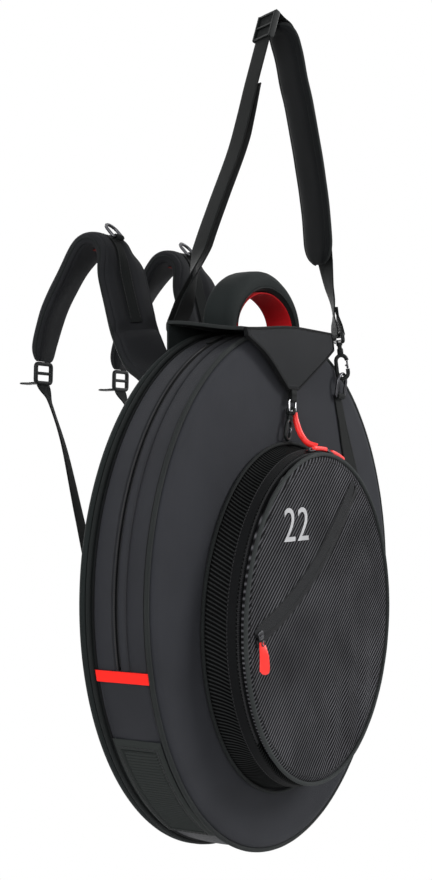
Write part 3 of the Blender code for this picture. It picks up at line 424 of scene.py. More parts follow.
def ways(points, loop=False):
    """The way a path runs at each of its points."""
    last = len(points) - 1
    found = []
    for k, here in enumerate(points):
        before = points[k - 1] if k or loop else here
        after = points[(k + 1) % len(points)] if k < last or loop else here
        found.append((after - before).normalized())
    return found


def run_of(points):
    return sum((b - a).length for a, b in zip(points, points[1:]))


def signed(value, power):
    return math.copysign(abs(value) ** power, value)


def oblong(half_width, half_height, square=1.0):
    """A point on a rounded section for u from 0 to 1; a smaller square gives a boxier section."""
    def at(u):
        return signed(math.cos(TURN * u), square) * half_width, signed(math.sin(TURN * u), square) * half_height
    return at


def strap(points, side, section, around=16, loop=False, relief=None):
    """A section carried along a path. It is an oblong's sizes, or gives a function of u for each v."""
    if isinstance(section, tuple):
        even = oblong(*section)

        def section(v):
            return even
    path = [Vector(p) for p in points]
    turns = ways(path, loop)
    if loop:
        path.append(path[0])
        turns.append(turns[0])
    frames = []
    for k, (point, way) in enumerate(zip(path, turns)):
        across = side[k % len(side)] if isinstance(side, list) else side
        across = (across - way * across.dot(way)).normalized()
        frames.append((point, across, across.cross(way)))
    rows = len(path) - 1

    def place(u, v):
        point, across, out = frames[min(rows, round(v * rows))]
        a, b = section(v)(u)
        spot = point + across * a + out * b
        return spot + relief(u, v, spot, across, out) if relief else spot

    girth = 3.6 * (abs(section(0.5)(0.0)[0]) + abs(section(0.5)(0.25)[1]))
    return shaped(around, rows, place, (girth, run_of(path)), not loop)


def bar(points, radius, around=12, loop=False):
    """A round bar along a path, carried without twist."""
    path = [Vector(p) for p in points]
    turns = ways(path, loop)
    side = turns[0].orthogonal().normalized()
    sides = []
    for way in turns:
        side = (side - way * side.dot(way)).normalized()
        sides.append(side)
    return strap(path, sides, (radius, radius), around, loop)


def rounded(corners, radius, steps=5, loop=True):
    """A path with its corners rounded by short arcs."""
    corners = [Vector(c) for c in corners]
    count = len(corners)
    path = []
    for k, corner in enumerate(corners):
        if not loop and k in (0, count - 1):
            path.append(corner)
            continue
        before, after = corners[k - 1] - corner, corners[(k + 1) % count] - corner
        reach = min(radius, before.length * 0.45, after.length * 0.45)
        a, b = corner + before.normalized() * reach, corner + after.normalized() * reach
        for t in (step / steps for step in range(steps + 1)):
            path.append(a * (1 - t) ** 2 + corner * 2 * t * (1 - t) + b * t * t)
    return path


def evenly(points, pitch):
    """Points and ways at even distances along a path."""
    found, left = [], pitch / 2
    for a, b in zip(points, points[1:]):
        length = (b - a).length
        if length < 1e-9:
            continue
        way = (b - a) / length
        while left <= length:
            found.append((a + way * left, way))
            left += pitch
        left -= length
    return found


def rods(places, sides, radius, length):
    """Many short rods in one form; each place is a point, the rod's way and a way outwards."""
    form = bmesh.new()
    for place, way, out in places:
        across = out.cross(way).normalized()
        turned = Matrix((across, way.cross(across), way)).transposed().to_4x4()
        bmesh.ops.create_cone(form, cap_ends=True, segments=sides, radius1=radius, radius2=radius, depth=length,
                              matrix=Matrix.Translation(place) @ turned)
    return form


def stitched(name, paths, body, pitch=0.0042, thick=0.0004):
    """Rows of sewn stitches: each is one short five-sided thread lying on the path."""
    places = [(place, way, way.orthogonal().normalized())
              for points in paths for place, way in evenly([Vector(p) for p in points], pitch)]
    finish(name, rods(places, 5, thick, pitch * 0.62), THREAD, body, "webbing")


def polar(radius, y, angle, centre=MIDDLE):
    """A point on a circle about an axis along Y; angles run up from +X."""
    return centre + Vector((radius * math.cos(angle), y, radius * math.sin(angle)))


def arc(radius, y, start, end, centre=MIDDLE, step=0.0035):
    count = max(2, int(abs(end - start) * radius / step))
    return [polar(radius, y, start + (end - start) * k / count, centre) for k in range(count + 1)]


def ring(radius, y, count, centre=MIDDLE):
    return [polar(radius, y, TURN * k / count, centre) for k in range(count)]


def ripple(place, size, seed=0.0):
    """Smooth noise from -1 to 1, the same on every run."""
    return noise.noise(place / size + Vector((seed, seed * 1.7, -seed)))


def swelling(place, size, seed=0.0):
    """The same noise from 0 to 1."""
    return 0.5 + 0.5 * ripple(place, size, seed)


def eased(t):
    t = max(0.0, min(1.0, t))
    return t * t * (3 - 2 * t)


print("helpers ready")

# %% [markdown]
# The front is a foam-padded disc under nylon. It swells a little in the middle and
# pulls in at the piping, where the stitches draw small puckers. A profile turned once
# round the middle gives the disc; `spin` with `use_merge` closes it, and the noise is
# added afterwards, point by point.

# %% Front panel
def disc(profile, steps, relief):
    form = bmesh.new()
    points = [form.verts.new((r, y, 0)) for r, y in profile]
    edges = [form.edges.new(pair) for pair in zip(points, points[1:])]
    bmesh.ops.spin(form, geom=points + edges, cent=MIDDLE, axis=INWARD, angle=TURN, steps=steps, use_merge=True)
    bmesh.ops.remove_doubles(form, verts=form.verts, dist=0.00002)
    for vert in form.verts:
        vert.co.y += relief(vert.co)
    bmesh.ops.recalc_face_normals(form, faces=form.faces)
    return face_uv(form, SIDE, UP)


def face_uv(form, u_way, v_way):
    uv = form.loops.layers.uv.verify()
    for face in form.faces:
        for loop in face.loops:
            loop[uv].uv = (loop.vert.co.dot(u_way), loop.vert.co.dot(v_way))
    return form


def level(first, last, step, y):
    """The flat part of a profile, from one radius to another."""
    found = []
    while (last - first) * step > 0:
        found.append((first, y))
        first += step
    return found


PANEL_EDGE, PANEL_ROUND = 0.012, 0.0048
front_profile = [(0.0, PANEL_FRONT), *level(0.006, PANEL_RADIUS - PANEL_EDGE, 0.006, PANEL_FRONT)]
front_profile += [(PANEL_RADIUS - PANEL_EDGE * (1 - t), PANEL_FRONT + PANEL_ROUND * (1 - math.sqrt(1 - t * t)))
                  for t in (k / 8 for k in range(9))]
front_profile += [(radius, PANEL_BACK) for radius in (PANEL_RADIUS, PANEL_RADIUS - 0.02, 0.10, 0.0)]


def panel_relief(co):
    if co.y > PANEL_BACK - 0.0005:
        return 0.0
    rim = max(0.0, 1 - (PANEL_RADIUS - math.hypot(co.x, co.z)) / 0.035)
    pucker = 0.0005 * rim * (0.5 + 0.5 * math.sin(math.atan2(co.z, co.x) * 90 + 3 * ripple(co, 0.08)))
    return pucker + 0.0009 * swelling(co, 0.11, 3.0) * (1 - rim)


finish("front_panel_cloth", disc(front_profile, 180, panel_relief), SHELL, FRONT, "shell_fabric", ["front_panel"])
print("front panel:", len(front_profile), "rings")

# %% [markdown]
# Piping is a round cord inside a folded strip, sewn into the seam all round. It is a
# ring whose thickness wavers slightly, with the binding's ribs running across it. A
# thin near-black ring inside each of the two rims is painted shadow, for the shade
# in the seam beside the piping.

# %% Piping
def piping(name, radius, y, thick, centre, body, replaces=(), look=BINDING):
    path = ring(radius, y, 300, centre)

    def relief(u, v, spot, across, out):
        wave = 0.06 * thick * ripple(spot, 0.02, 5.0)
        return (across * math.cos(TURN * u) + out * math.sin(TURN * u)) * wave

    sides = [(p - centre).normalized() for p in path]
    finish(name, strap(path, sides, (thick, thick), 12, True, relief), look, body, "piping", replaces)


piping("front_rim_piping", RIM, 0.0, PIPING, MIDDLE, FRONT, ["front_piping"], EDGE_BINDING)
piping("rear_rim_piping", RIM, BAG_DEPTH, PIPING, MIDDLE, REAR, ["rear_piping"])
piping("pocket_seam_piping", 0.2008, -0.0073, 0.0020, POCKET, FRONT, ["pocket_base_piping"])
piping("pocket_rim_piping", 0.1876, LID_FACE, 0.0024, POCKET, LID, ["pocket_front_piping"], RIM_BINDING)
# Painted shadow: a near-black ring in the seam inside each rim, where shade falls beside the piping.
for name, y, body in (("front_rim_seam", 0.0043, FRONT), ("rear_rim_seam", 0.0657, REAR)):
    piping(name, GUSSET_OUT - 0.0016, y, 0.0014, MIDDLE, body, look=FACING_AND_SHADE)
print("pipings: 4, with a dark seam inside each rim")

# %% [markdown]
# The gusset is the strip that runs round the side. Its upper part is cut in two by
# the zip, and each half is folded and top-stitched along it, so the strip is round
# at its seams and has a shallow groove under each row of stitches. Below the zip's
# ends it is one piece.

# %% Gusset
TAPE_ANGLE = math.radians(-14)
ZIP_START = TAPE_ANGLE + 0.0063 / GUSSET_OUT
ZIP_END = math.pi - ZIP_START
GUSSET_LOW, GUSSET_HIGH = 0.0029, 0.0671
ACROSS = (FRONT, REAR, (0, 0.006, 0), (0, 0.066, 0))


def gusset_section(low, high, grooves):
    """The closed (radius, y) outline of one strip, grooved under its stitches and full between them."""
    outline = []
    lanes = [low, *grooves, high]
    for k in range(49):
        y = low + (high - low) * k / 48
        fall = 0.0030 * max(0.0, 1 - min(y - low, high - y) / 0.0040) ** 2
        groove = sum(0.0009 * math.exp(-((y - g) / 0.0011) ** 2) for g in grooves)
        left, right = next(pair for pair in zip(lanes, lanes[1:]) if y <= pair[1] + 1e-9)
        full = 0.0013 * ((y - left) / (right - left) * 2 - 1) ** 2
        outline.append((GUSSET_OUT - fall - groove - full, y))
    outline += [(GUSSET_IN, high + (low - high) * k / 4) for k in range(5)]
    return outline + outline[:1]


def turned(outline, start, end, size, put, ends=True):
    """An outline carried round the bag; put(radius, y, angle) gives each of its points."""
    columns = len(outline) - 1
    girth = sum(math.dist(a, b) for a, b in zip(outline, outline[1:]))
    return shaped(columns, int((end - start) * size / 0.0045),
                  lambda u, v: put(*outline[round(u * columns)], start + (end - start) * v),
                  (girth, (end - start) * size), ends)


def gusset(name, outline, start, end, seed, body, node):
    def put(radius, y, angle):
        if radius > GUSSET_IN + 0.001:
            radius -= 0.0005 * swelling(polar(radius, y, angle), 0.035, seed)
        return polar(radius, y, angle)

    finish(name, turned(outline, start, end, GUSSET_OUT, put), GUSSET_CLOTH, body, "shell_fabric", [node])


gusset("gusset_front_cloth", gusset_section(GUSSET_LOW, 0.0385, (0.0258,)), ZIP_START, ZIP_END, 0.0, FRONT,
       "front_gusset")
gusset("gusset_rear_cloth", gusset_section(0.0413, GUSSET_HIGH, ()), ZIP_START, ZIP_END, 2.0, REAR, "rear_gusset")
gusset("gusset_lower_cloth", gusset_section(GUSSET_LOW, GUSSET_HIGH, (0.0065, 0.0635)), ZIP_END + SEAT / GUSSET_IN,
       TURN + ZIP_START - SEAT / GUSSET_IN, 4.0, ACROSS, "lower_gusset")
stitched("gusset_front_stitches", [arc(GUSSET_OUT - 0.0002, y, ZIP_START + 0.01, ZIP_END - 0.01)
                                   for y in (0.0258, 0.0360)], FRONT)
stitched("gusset_rear_stitches", [arc(GUSSET_OUT - 0.0010, 0.0438, ZIP_START + 0.01, ZIP_END - 0.01)], REAR)
print("gusset strips: 3")

# %% [markdown]
# A coil zip is a nylon wire wound in a spiral and sewn to a tape; from outside it
# reads as a row of small rungs. Each rung is one six-sided bar, and hundreds of them
# stay light. A narrow strip of tape lies under them.

# %% Zips
def coil(name, path, centre, half, body, node):
    """Rungs along a path, facing away from a centre or, without one, to the front."""
    places = []
    for place, way in evenly(path, 0.0019):
        out = Vector((place.x - centre.x, 0, place.z - centre.z)).normalized() if centre is not None else -INWARD
        places.append((place, out.cross(way).normalized(), out))
    finish(name, rods(places, 6, 0.00075, 2 * half), COIL, body, "black_plastic", [node])
    return len(places)


def zip_bed(name, radius, depth, y, half, start, end, centre, body, look=TAPE, slot="black_plastic"):
    """The strip of tape under a zip's rungs, as a low rounded band."""
    path = arc(radius - depth / 2, y, start, end, centre)
    finish(name, strap(path, INWARD, (half, depth / 2, 0.3), 12), look, body, slot)


POCKET_ZIP = (math.pi / 2 - math.radians(130), math.pi / 2 + math.radians(130))
rungs = 0
for name, radius, bed, y, span, centre, teeth in (
        ("main", GUSSET_OUT, (0.0014, 0.0024, 0.0008), ZIP_Y, (ZIP_START, ZIP_END), MIDDLE, "main_zip_teeth"),
        ("pocket", POCKET_RADIUS, (0.0012, 0.0030, 0.0006), POCKET_ZIP_Y, POCKET_ZIP, POCKET, "pocket_zip_teeth")):
    zip_bed(f"{name}_zip_bed", radius - bed[0], bed[1], y, 0.0011, *span, centre, FRONT)
    rungs += coil(f"{name}_zip_coil", arc(radius - bed[2], y, *span, centre, 0.002), centre, 0.00105, FRONT, teeth)
print("zip rungs so far:", rungs)

# %% [markdown]
# Where the zip ends, a red woven tape is sewn across the gusset on both sides, and a
# moulded guard with cross ribs protects the lower corners.

# %% Red tapes and ribbed guards
GUARD_FROM, GUARD_TO = math.radians(-28), math.radians(-60)
GUARD_LOW, GUARD_HIGH = 0.0059, 0.0641
FACE_STEPS, ALL_STEPS = 39, 48


def patch(name, angles, low, high, outer, rows, profile, look, slot, node):
    """A plate bent round the gusset; profile(u, v) gives its outer height as a share."""
    start, end = sorted(angles)
    inner = GUSSET_OUT + SEAT

    def place(u, v):
        k = round(u * ALL_STEPS) % ALL_STEPS
        if k <= FACE_STEPS:
            s = k / FACE_STEPS
            radius, y = inner + (outer - inner) * profile(s, v), low + (high - low) * s
        else:
            radius, y = inner, high + (low - high) * (k - FACE_STEPS - 1) / 7
        return polar(radius, y, start + (end - start) * v)

    form = shaped(ALL_STEPS, rows, place, (high - low, abs(end - start) * GUSSET_OUT), True)
    finish(name, form, look, ACROSS, slot, [node], sharp=30)


def tape_height(s, v):
    return min(1.0, 0.15 + min(s, 1 - s) / 0.03) * (0.75 + 0.25 * min(1.0, min(v, 1 - v) / 0.12))


def guard_height(s, v):
    """A bevelled edge, a flat border, a groove and then forty ribs."""
    s, side = min(s, 1 - s), min(v, 1 - v)
    edge = min(s / 0.05, side / 0.03)
    if edge < 1:
        return 0.15 + 0.85 * edge
    if s < 0.14 or side < 0.07:
        return 1.0
    if s < 0.17 or side < 0.08:
        return 0.05
    return 0.12 + 0.72 * (0.5 + 0.5 * math.sin(v * TURN * 40)) ** 0.7


def mirrored(angle, flip):
    return math.pi - angle if flip else angle


half = 0.0060 / GUSSET_OUT
for name, flip in (("left", True), ("right", False)):
    patch(f"red_tape_{name}", [mirrored(TAPE_ANGLE + side, flip) for side in (-half, half)], GUSSET_LOW, GUSSET_HIGH,
          GUSSET_OUT + 0.0019, 10, tape_height, RED_TAPE, "red_textile", f"tab_{name}")
    patch(f"corner_guard_{name}", [mirrored(side, flip) for side in (GUARD_FROM, GUARD_TO)], GUARD_LOW, GUARD_HIGH,
          GUSSET_OUT + 0.0025, 320, guard_height, RUBBER, "black_plastic", f"patch_{name}")
border = [(k, 0.1) for k in range(3, 58)] + [(57, 0.1), (57, 0.9)]
border += [(k, 0.9) for k in range(57, 2, -1)] + [(3, 0.9), (3, 0.1)]
rails = [[polar(1, 0, mirrored(GUARD_FROM + (GUARD_TO - GUARD_FROM) * (k / 60), flip)) * (GUSSET_OUT + 0.0027)
          + INWARD * (GUARD_LOW + (GUARD_HIGH - GUARD_LOW) * s) for k, s in border] for flip in (False, True)]
stitched("corner_guard_stitches", rails, ACROSS, 0.0048, 0.0006)
print("tapes and guards: 4")

# %% [markdown]
# The back is padded like the front, thicker, and quilted into channels that lie
# against the wearer. The channels are grooves in the panel's height: one circle and
# four upright lines, each with its row of stitches.

# %% Rear panel
QUILT_LINES = (-0.125, -0.045, 0.045, 0.125)
QUILT_RADIUS, QUILT_Y = 0.262, BACK_FACE - 0.0040
rear_profile = [(0.0, BACK_FRONT), (0.10, BACK_FRONT), (PANEL_RADIUS - 0.002, BACK_FRONT),
                (PANEL_RADIUS, BACK_FRONT + 0.001), (PANEL_RADIUS, 0.0729), (BAG_RADIUS - 0.0012, 0.0735)]
rear_profile += [(BAG_RADIUS - 0.0085 * (1 - math.cos(a)), BACK_FACE - 0.0082 * (1 - math.sin(a)))
                 for a in (math.pi / 2 * k / 9 for k in range(10))]
rear_profile += [*level(BAG_RADIUS - 0.0125, 0.003, -0.004, BACK_FACE), (0.0, BACK_FACE)]


def quilt(co):
    if co.y < BACK_FACE - 0.002:
        return 0.0
    lines = [abs(co.x - x) for x in QUILT_LINES] if abs(co.z) < 0.19 else []
    nearest = min(lines + [abs(math.hypot(co.x, co.z) - QUILT_RADIUS)])
    return -0.0042 * math.exp(-(nearest / 0.007) ** 2) - 0.0007 * swelling(co, 0.05, 7.0)


finish("rear_panel_cloth", disc(rear_profile, 200, quilt), TRIM, REAR, "shell_fabric", ["rear_panel"])
stitched("rear_panel_stitches", [[(x, QUILT_Y, -0.188), (x, QUILT_Y, 0.188)] for x in QUILT_LINES]
         + [arc(QUILT_RADIUS, QUILT_Y, 0, TURN)], REAR, 0.005)
print("quilting lines:", len(QUILT_LINES) + 1)

# %% [markdown]
# A stiff sheet in a cloth cover lies over the zip like a roof. Bag makers cut such a
# board, round its corners and bind its edge, so it is a rounded plate with a raised
# binding all round and a row of stitches inside it.

# %% Roof
ROOF_HALF, ROOF_FRONT, ROOF_BACK = 0.1200, -0.0100, 0.0868


def plate(corners, radius, normal, low, high, bevel, bend=None, cells=0):
    """A flat outline with rounded corners, given a thickness and rounded edges; bend moves its points."""
    form = bmesh.new()
    face = form.faces.new([form.verts.new(p) for p in rounded(corners, radius, 6)])
    push = bmesh.ops.extrude_face_region(form, geom=[face])
    lifted = [v for v in push["geom"] if isinstance(v, bmesh.types.BMVert)]
    bmesh.ops.translate(form, verts=lifted, vec=normal * high - normal * low)
    bmesh.ops.translate(form, verts=form.verts, vec=normal * low)
    bmesh.ops.recalc_face_normals(form, faces=form.faces)
    edges = [e for e in form.edges if len(e.link_faces) == 2 and e.calc_face_angle(0) > math.radians(60)]
    bmesh.ops.bevel(form, geom=edges, offset=bevel, segments=3, affect="EDGES", profile=0.5, material=-1)
    for i, axis in enumerate((SIDE, INWARD, UP)):
        start, end = min(v.co[i] for v in form.verts), max(v.co[i] for v in form.verts)
        for k in range(1, cells if end - start >= 0.01 else 0):
            bmesh.ops.bisect_plane(form, geom=[*form.verts, *form.edges, *form.faces], dist=0.000001,
                                   plane_co=axis * (start + (end - start) * k / cells), plane_no=axis)
    if bend:
        for vert in form.verts:
            vert.co = bend(vert.co)
    return face_uv(form, SIDE, INWARD if normal == UP else UP)


def dense(corners, count, shift):
    """Points along a closed outline, close enough together to follow a bend."""
    return [Vector([p + (q - p) * t / count for p, q in zip(a, b)]) + shift
            for a, b in zip(corners, corners[1:] + corners[:1]) for t in range(count)]


def corner_drop(x):
    """The board's front left corner hangs a centimetre, as it does in the photograph."""
    return 0.0105 * eased((0.02 - x) / 0.14)


def roof_bend(co):
    forward = eased((ROOF_BACK - co.y) / (ROOF_BACK - ROOF_FRONT))
    return Vector((co.x, co.y, co.z - (corner_drop(co.x) * forward + 0.0020 * eased((co.x - 0.02) / 0.10) * forward)))


roof_corners = [(-ROOF_HALF, ROOF_FRONT, 0), (ROOF_HALF - 0.0140, ROOF_FRONT, 0), (ROOF_HALF, ROOF_FRONT + 0.0180, 0),
                (ROOF_HALF, ROOF_BACK, 0), (-ROOF_HALF, ROOF_BACK, 0)]
finish("roof_board", plate(roof_corners, 0.0060, UP, ROOF_UNDER, ROOF_TOP, 0.0010, roof_bend, 16), TRIM, FRONT,
       "black_plastic", ["roof_plate"])
edge_path = [roof_bend(p) for p in rounded(dense(roof_corners, 12, UP * ((ROOF_UNDER + ROOF_TOP) / 2)), 0.0060, 4)]
finish("roof_edge_binding", strap(edge_path, UP, (0.0019, 0.0009, 0.6), 12, True), EDGE_BINDING, FRONT, "piping")
inset = [(x * 0.965, 0.0384 + (y - 0.0384) * 0.91, 0) for x, y, _ in roof_corners]
inset = [roof_bend(p) for p in dense(inset, 12, UP * (ROOF_TOP + 0.0001))]
stitched("roof_stitches", [inset + inset[:1]], FRONT)
print("roof:", 2 * ROOF_HALF, "by", round(ROOF_BACK - ROOF_FRONT, 4))

# %% [markdown]
# At the back the cover hangs down as a short skirt, and in front as a triangular
# flap that is hooked to the pocket. Both are cloth over thin board: a plate whose
# edges are bound, with stitches following them. The flap follows the board's hanging
# corner, and its middle stands away from the panel.

# %% Skirt and flap
SKIRT_TOP = ROOF_UNDER - SEAT
SKIRT_LOW = SKIRT_TOP - 0.0400
skirt = plate([(-ROOF_HALF, 0, SKIRT_LOW), (ROOF_HALF, 0, SKIRT_LOW), (ROOF_HALF, 0, SKIRT_TOP),
               (-ROOF_HALF, 0, SKIRT_TOP)], 0.0045, INWARD, BACK_FACE + SEAT, ROOF_BACK, 0.0009)
finish("rear_skirt_cloth", skirt, TRIM, REAR, "trim_fabric", ["rear_skirt"])
row = [Vector((x * 0.965, 0.0869, z)) for x, z in ((-ROOF_HALF, 0.298), (-ROOF_HALF, SKIRT_LOW + 0.0042),
                                                   (ROOF_HALF, SKIRT_LOW + 0.0042), (ROOF_HALF, 0.298))]
stitched("rear_skirt_stitches", [row], REAR)

FLAP_TOP, FLAP_TIP_Z = 0.3034, 0.2314
FLAP_LEFT, FLAP_RIGHT, FLAP_TIP = -0.1150, 0.1040, 0.0130
flap_corners = [(-FLAP_TIP, 0, FLAP_TIP_Z), (FLAP_TIP, 0, FLAP_TIP_Z), (FLAP_RIGHT, 0, FLAP_TOP - 0.0200),
                (FLAP_RIGHT, 0, FLAP_TOP), (FLAP_LEFT, 0, FLAP_TOP), (FLAP_LEFT, 0, FLAP_TOP - 0.0090)]


def flap_bend(co):
    down = (FLAP_TOP - co.z) / (FLAP_TOP - FLAP_TIP_Z)
    swell = 0.0030 * math.sin(math.pi * max(0.0, min(1.0, down)) ** 0.8)
    return Vector((co.x, co.y - swell, co.z - corner_drop(co.x) * (1 - eased(down * 1.6))))


finish("front_flap_cloth", plate(flap_corners, 0.0035, INWARD, -0.0133, -0.0103, 0.0010, flap_bend, 20), FLAP_CLOTH,
       "flap", "trim_fabric", ["front_flap"])
# The hem's near-black colour is partly the binding's own and partly painted shade, for the shadow along the flap's
# left edge.
hem = [flap_bend(p) for p in rounded(dense(flap_corners, 14, INWARD * -0.0118), 0.0035, 3)]
finish("front_flap_hem", strap(hem, INWARD, (0.0027, 0.0015, 0.6), 12, True), FACING_AND_SHADE, "flap", "piping")
centre = Vector((0, -0.0134, 0.279))
drawn_in = [centre + (Vector((x, centre.y, z)) - centre) * 0.93 for x, _, z in flap_corners]
sewn = [flap_bend(p) for p in dense(drawn_in, 14, MIDDLE)]
stitched("front_flap_stitches", [sewn + sewn[:1]], "flap")
print("flap drops", round(FLAP_TOP - FLAP_TIP_Z, 4))

# %% [markdown]
# The carrying handle is a padded arch: soft foam with a cloth cover, pulled flatter
# at its edges, and a red lining where the fingers go. The arch is a half ellipse,
# and its section a rounded box that swells between its two edge seams.

# %% Handle
HANDLE_FOOT, HANDLE_RISE, HANDLE_STEPS = 0.0700, 0.0420, 72
base = ROOF_TOP + SEAT
arch_path = [Vector((-HANDLE_FOOT * math.cos(a), ZIP_Y, base + HANDLE_RISE * math.sin(a)))
             for a in (math.pi * k / HANDLE_STEPS for k in range(HANDLE_STEPS + 1))]
arch_outs = [Vector((-w.z, 0, w.x)) for w in ways(arch_path)]
arch_outs[0], arch_outs[-1] = -SIDE, SIDE


def lowered(spot):
    """A point moved down as far as the board under it hangs."""
    return spot - UP * (ROOF_TOP - roof_bend(Vector((spot.x, spot.y, ROOF_TOP))).z)


def arch_skin(half_width, inner, outer, columns, swell, seed):
    """A closed band between two offsets of the arch; its section is a crowned, seamed box."""
    def place(u, v):
        k = round(v * HANDLE_STEPS)
        c, s = math.cos(TURN * u), math.sin(TURN * u)
        crown = 1 - 0.62 * abs(c) ** 2.5 if s > 0 else 1
        depth = (inner + outer) / 2 + (outer - inner) / 2 * signed(s, 0.6) * crown
        spot = arch_path[k] + Vector((0, signed(c, 0.55) * half_width, 0)) + arch_outs[k] * depth
        spot += arch_outs[k] * swell * (ripple(spot, 0.03, seed) - 0.4)
        spot.z = max(spot.z, base)
        return roof_bend(spot) if spot.z < base + 0.02 else lowered(spot)

    return shaped(columns, HANDLE_STEPS, place, (4 * half_width, run_of(arch_path)), True)


finish("handle_cover", arch_skin(0.0200, 0.0004, 0.0246, 32, 0.0008, 1.0), TRIM, FRONT, "trim_fabric",
       ["handle_grip"])
finish("handle_red_lining", arch_skin(0.0172, -0.0030, -0.0003, 20, 0.0002, 2.0), RED_LINING, FRONT, "red_textile",
       ["handle_lining"])
for side_name, y in (("front", -0.0196), ("rear", 0.0196)):
    seam = [lowered(p + Vector((0, y, 0)) + out * 0.0045) for p, out in zip(arch_path, arch_outs)][2:-2]
    finish(f"handle_seam_{side_name}", bar(seam, 0.0009, 8), BINDING, FRONT, "trim_fabric")
print("handle rises", HANDLE_RISE)

# %% [markdown]
# The pocket stands on the front like a drum. Its wall leans in, its ribbed cloth
# sags a little between the seam and the zip, and a smooth tape covers the zip's
# edge. Points of a grid are turned round the pocket's middle, with a row for each
# height of the wall.

# %% Pocket wall
WALL_BACK_Y, WALL_FRONT_Y = -0.0053, -0.0418


def wall_point(s, inward):
    """Radius and y for s from 0 at the panel to 1 at the zip."""
    return (POCKET_BASE + (POCKET_RADIUS - POCKET_BASE) * s - inward,
            WALL_BACK_Y + (WALL_FRONT_Y - WALL_BACK_Y) * s)


def wall_skin(outline, relief):
    def put(radius, y, angle):
        spot = polar(1, 0, angle)
        fold = swelling(spot * POCKET_RADIUS + Vector((0, y * 0.4, 0)), 0.028)
        return POCKET + spot * (radius - relief * fold) + Vector((0, y, 0))

    return turned(outline + outline[:1], 0, TURN, POCKET_RADIUS, put, False)


SAG_END = 0.72
wall = [wall_point(s, 0.0016 * math.sin(math.pi * s / SAG_END) if s < SAG_END else 0.0)
        for s in (k / 24 for k in range(25))]
wall += [wall_point(1 - k / 4, 0.0050) for k in range(5)]
finish("pocket_wall_cloth", wall_skin(wall, 0.0012), SHADED_WALL_RIB, FRONT, "lid_fabric", ["pocket_wall"])
band = [wall_point(s, -0.0006) for s in (0.70, 0.74, 0.80, 0.86, 0.92, 0.97)]
band += [wall_point(s, 0.0006) for s in (0.97, 0.85, 0.70)]
finish("pocket_zip_facing", wall_skin(band, 0.0002), FACING_AND_SHADE, FRONT, "lid_fabric")
stitched("pocket_wall_stitches", [arc(*wall_point(0.73, -0.0008), 0, TURN, POCKET)], FRONT)
print("pocket wall stands", round(WALL_BACK_Y - WALL_FRONT_Y, 4))

# %% [markdown]
# The lid is one round of diagonally ribbed cloth over thin foam. Low on the right it
# shows soft upright folds where the pocket sags, and its edge pulls in under the
# piping. It is a turned disc whose front points are moved by a few smooth waves.

# %% Pocket lid
LID_RADIUS, LID_EDGE = 0.1849, 0.008
LID_TOP_Y, LID_BACK_Y, LID_INNER_Y = -0.05285, -0.0446, LID_FACE + 0.0040
lid_profile = [(0.0, LID_TOP_Y), *level(0.004, LID_RADIUS - LID_EDGE, 0.004, LID_TOP_Y)]
lid_profile += [(LID_RADIUS - LID_EDGE * (1 - t), LID_TOP_Y + 0.0022 * t ** 2.5) for t in (k / 6 for k in range(7))]
lid_profile += [(LID_RADIUS, LID_BACK_Y), (LID_RADIUS - 0.0036, LID_BACK_Y), (LID_RADIUS - 0.0036, LID_INNER_Y),
                (0.10, LID_INNER_Y), (0.0, LID_INNER_Y)]


def lid_relief(co):
    if co.y > LID_TOP_Y + 0.0024:
        return 0.0
    folds = 0.0
    if co.z < 0.02 and co.x > -0.06:
        share = min(1.0, (0.02 - co.z) / 0.12) * min(1.0, (co.x + 0.06) / 0.08)
        folds = 0.0016 * share * (0.5 + 0.5 * math.sin(co.x * 150 + 2.2 * ripple(co, 0.05, 2.0)))
    inner = max(0.0, min(1.0, (LID_RADIUS - math.hypot(co.x, co.z)) / 0.02))
    return (folds + 0.0012 * swelling(co, 0.06, 9.0)) * inner


lid = disc(lid_profile, 200, lid_relief)
bmesh.ops.translate(lid, verts=lid.verts, vec=POCKET)
finish("pocket_lid_cloth", lid, RIBBED, LID, "lid_fabric", ["pocket_lid"])
stitched("pocket_lid_stitches", [arc(LID_RADIUS - 0.0055, LID_TOP_Y - 0.0001, 0, TURN, POCKET)], LID)
print("lid is", 2 * LID_RADIUS, "across")

# %% [markdown]
# A second zip curves across the lid. The maker hid it under a smooth fold of cloth
# that lies above it, so what shows is a low soft band with the dark zip along its
# lower edge. Both follow one circle with its centre far outside the bag.

# %% Curved zip on the lid
SLOT_FROM, SLOT_TO = math.radians(-75.0), math.radians(-40.5)
SLOT_Y = -0.0532
slot_path = arc(SLOT_RADIUS - 0.0038, SLOT_Y - 0.0002, SLOT_FROM, SLOT_TO, SLOT_CENTRE)
fold = strap(slot_path, [(p - SLOT_CENTRE).normalized() for p in slot_path],
             lambda v: oblong(0.0075 * min(1.0, 0.45 + 8 * min(v, 1 - v)), 0.0006, 0.7), 20,
             relief=lambda u, v, spot, across, out: out * 0.0003 * ripple(spot, 0.02, 4.0))
finish("lid_zip_fold", fold, SMOOTH, LID, "lid_fabric")
zip_bed("lid_zip_bed", SLOT_RADIUS + 0.0110, 0.0086, SLOT_Y, 0.0007, SLOT_FROM, SLOT_TO, SLOT_CENTRE, LID, SMOOTH,
        "lid_fabric")
rungs += coil("lid_zip_coil", arc(SLOT_RADIUS + 0.0045, SLOT_Y - 0.0008, SLOT_FROM, SLOT_TO, SLOT_CENTRE, 0.002),
              None, 0.0012, LID, "lid_zip")
stitched("lid_zip_stitches", [arc(SLOT_RADIUS - 0.0095, SLOT_Y - 0.0006, SLOT_FROM + 0.01, SLOT_TO - 0.01,
                                  SLOT_CENTRE)], LID)
print("zip rungs in all:", rungs)

# %% [markdown]
# The size in inches is printed on the lid in silver. Blender's own plain font is
# narrow enough when it is squeezed. The text becomes a mesh before it is placed, so
# that its points, and not its object, hold the place.

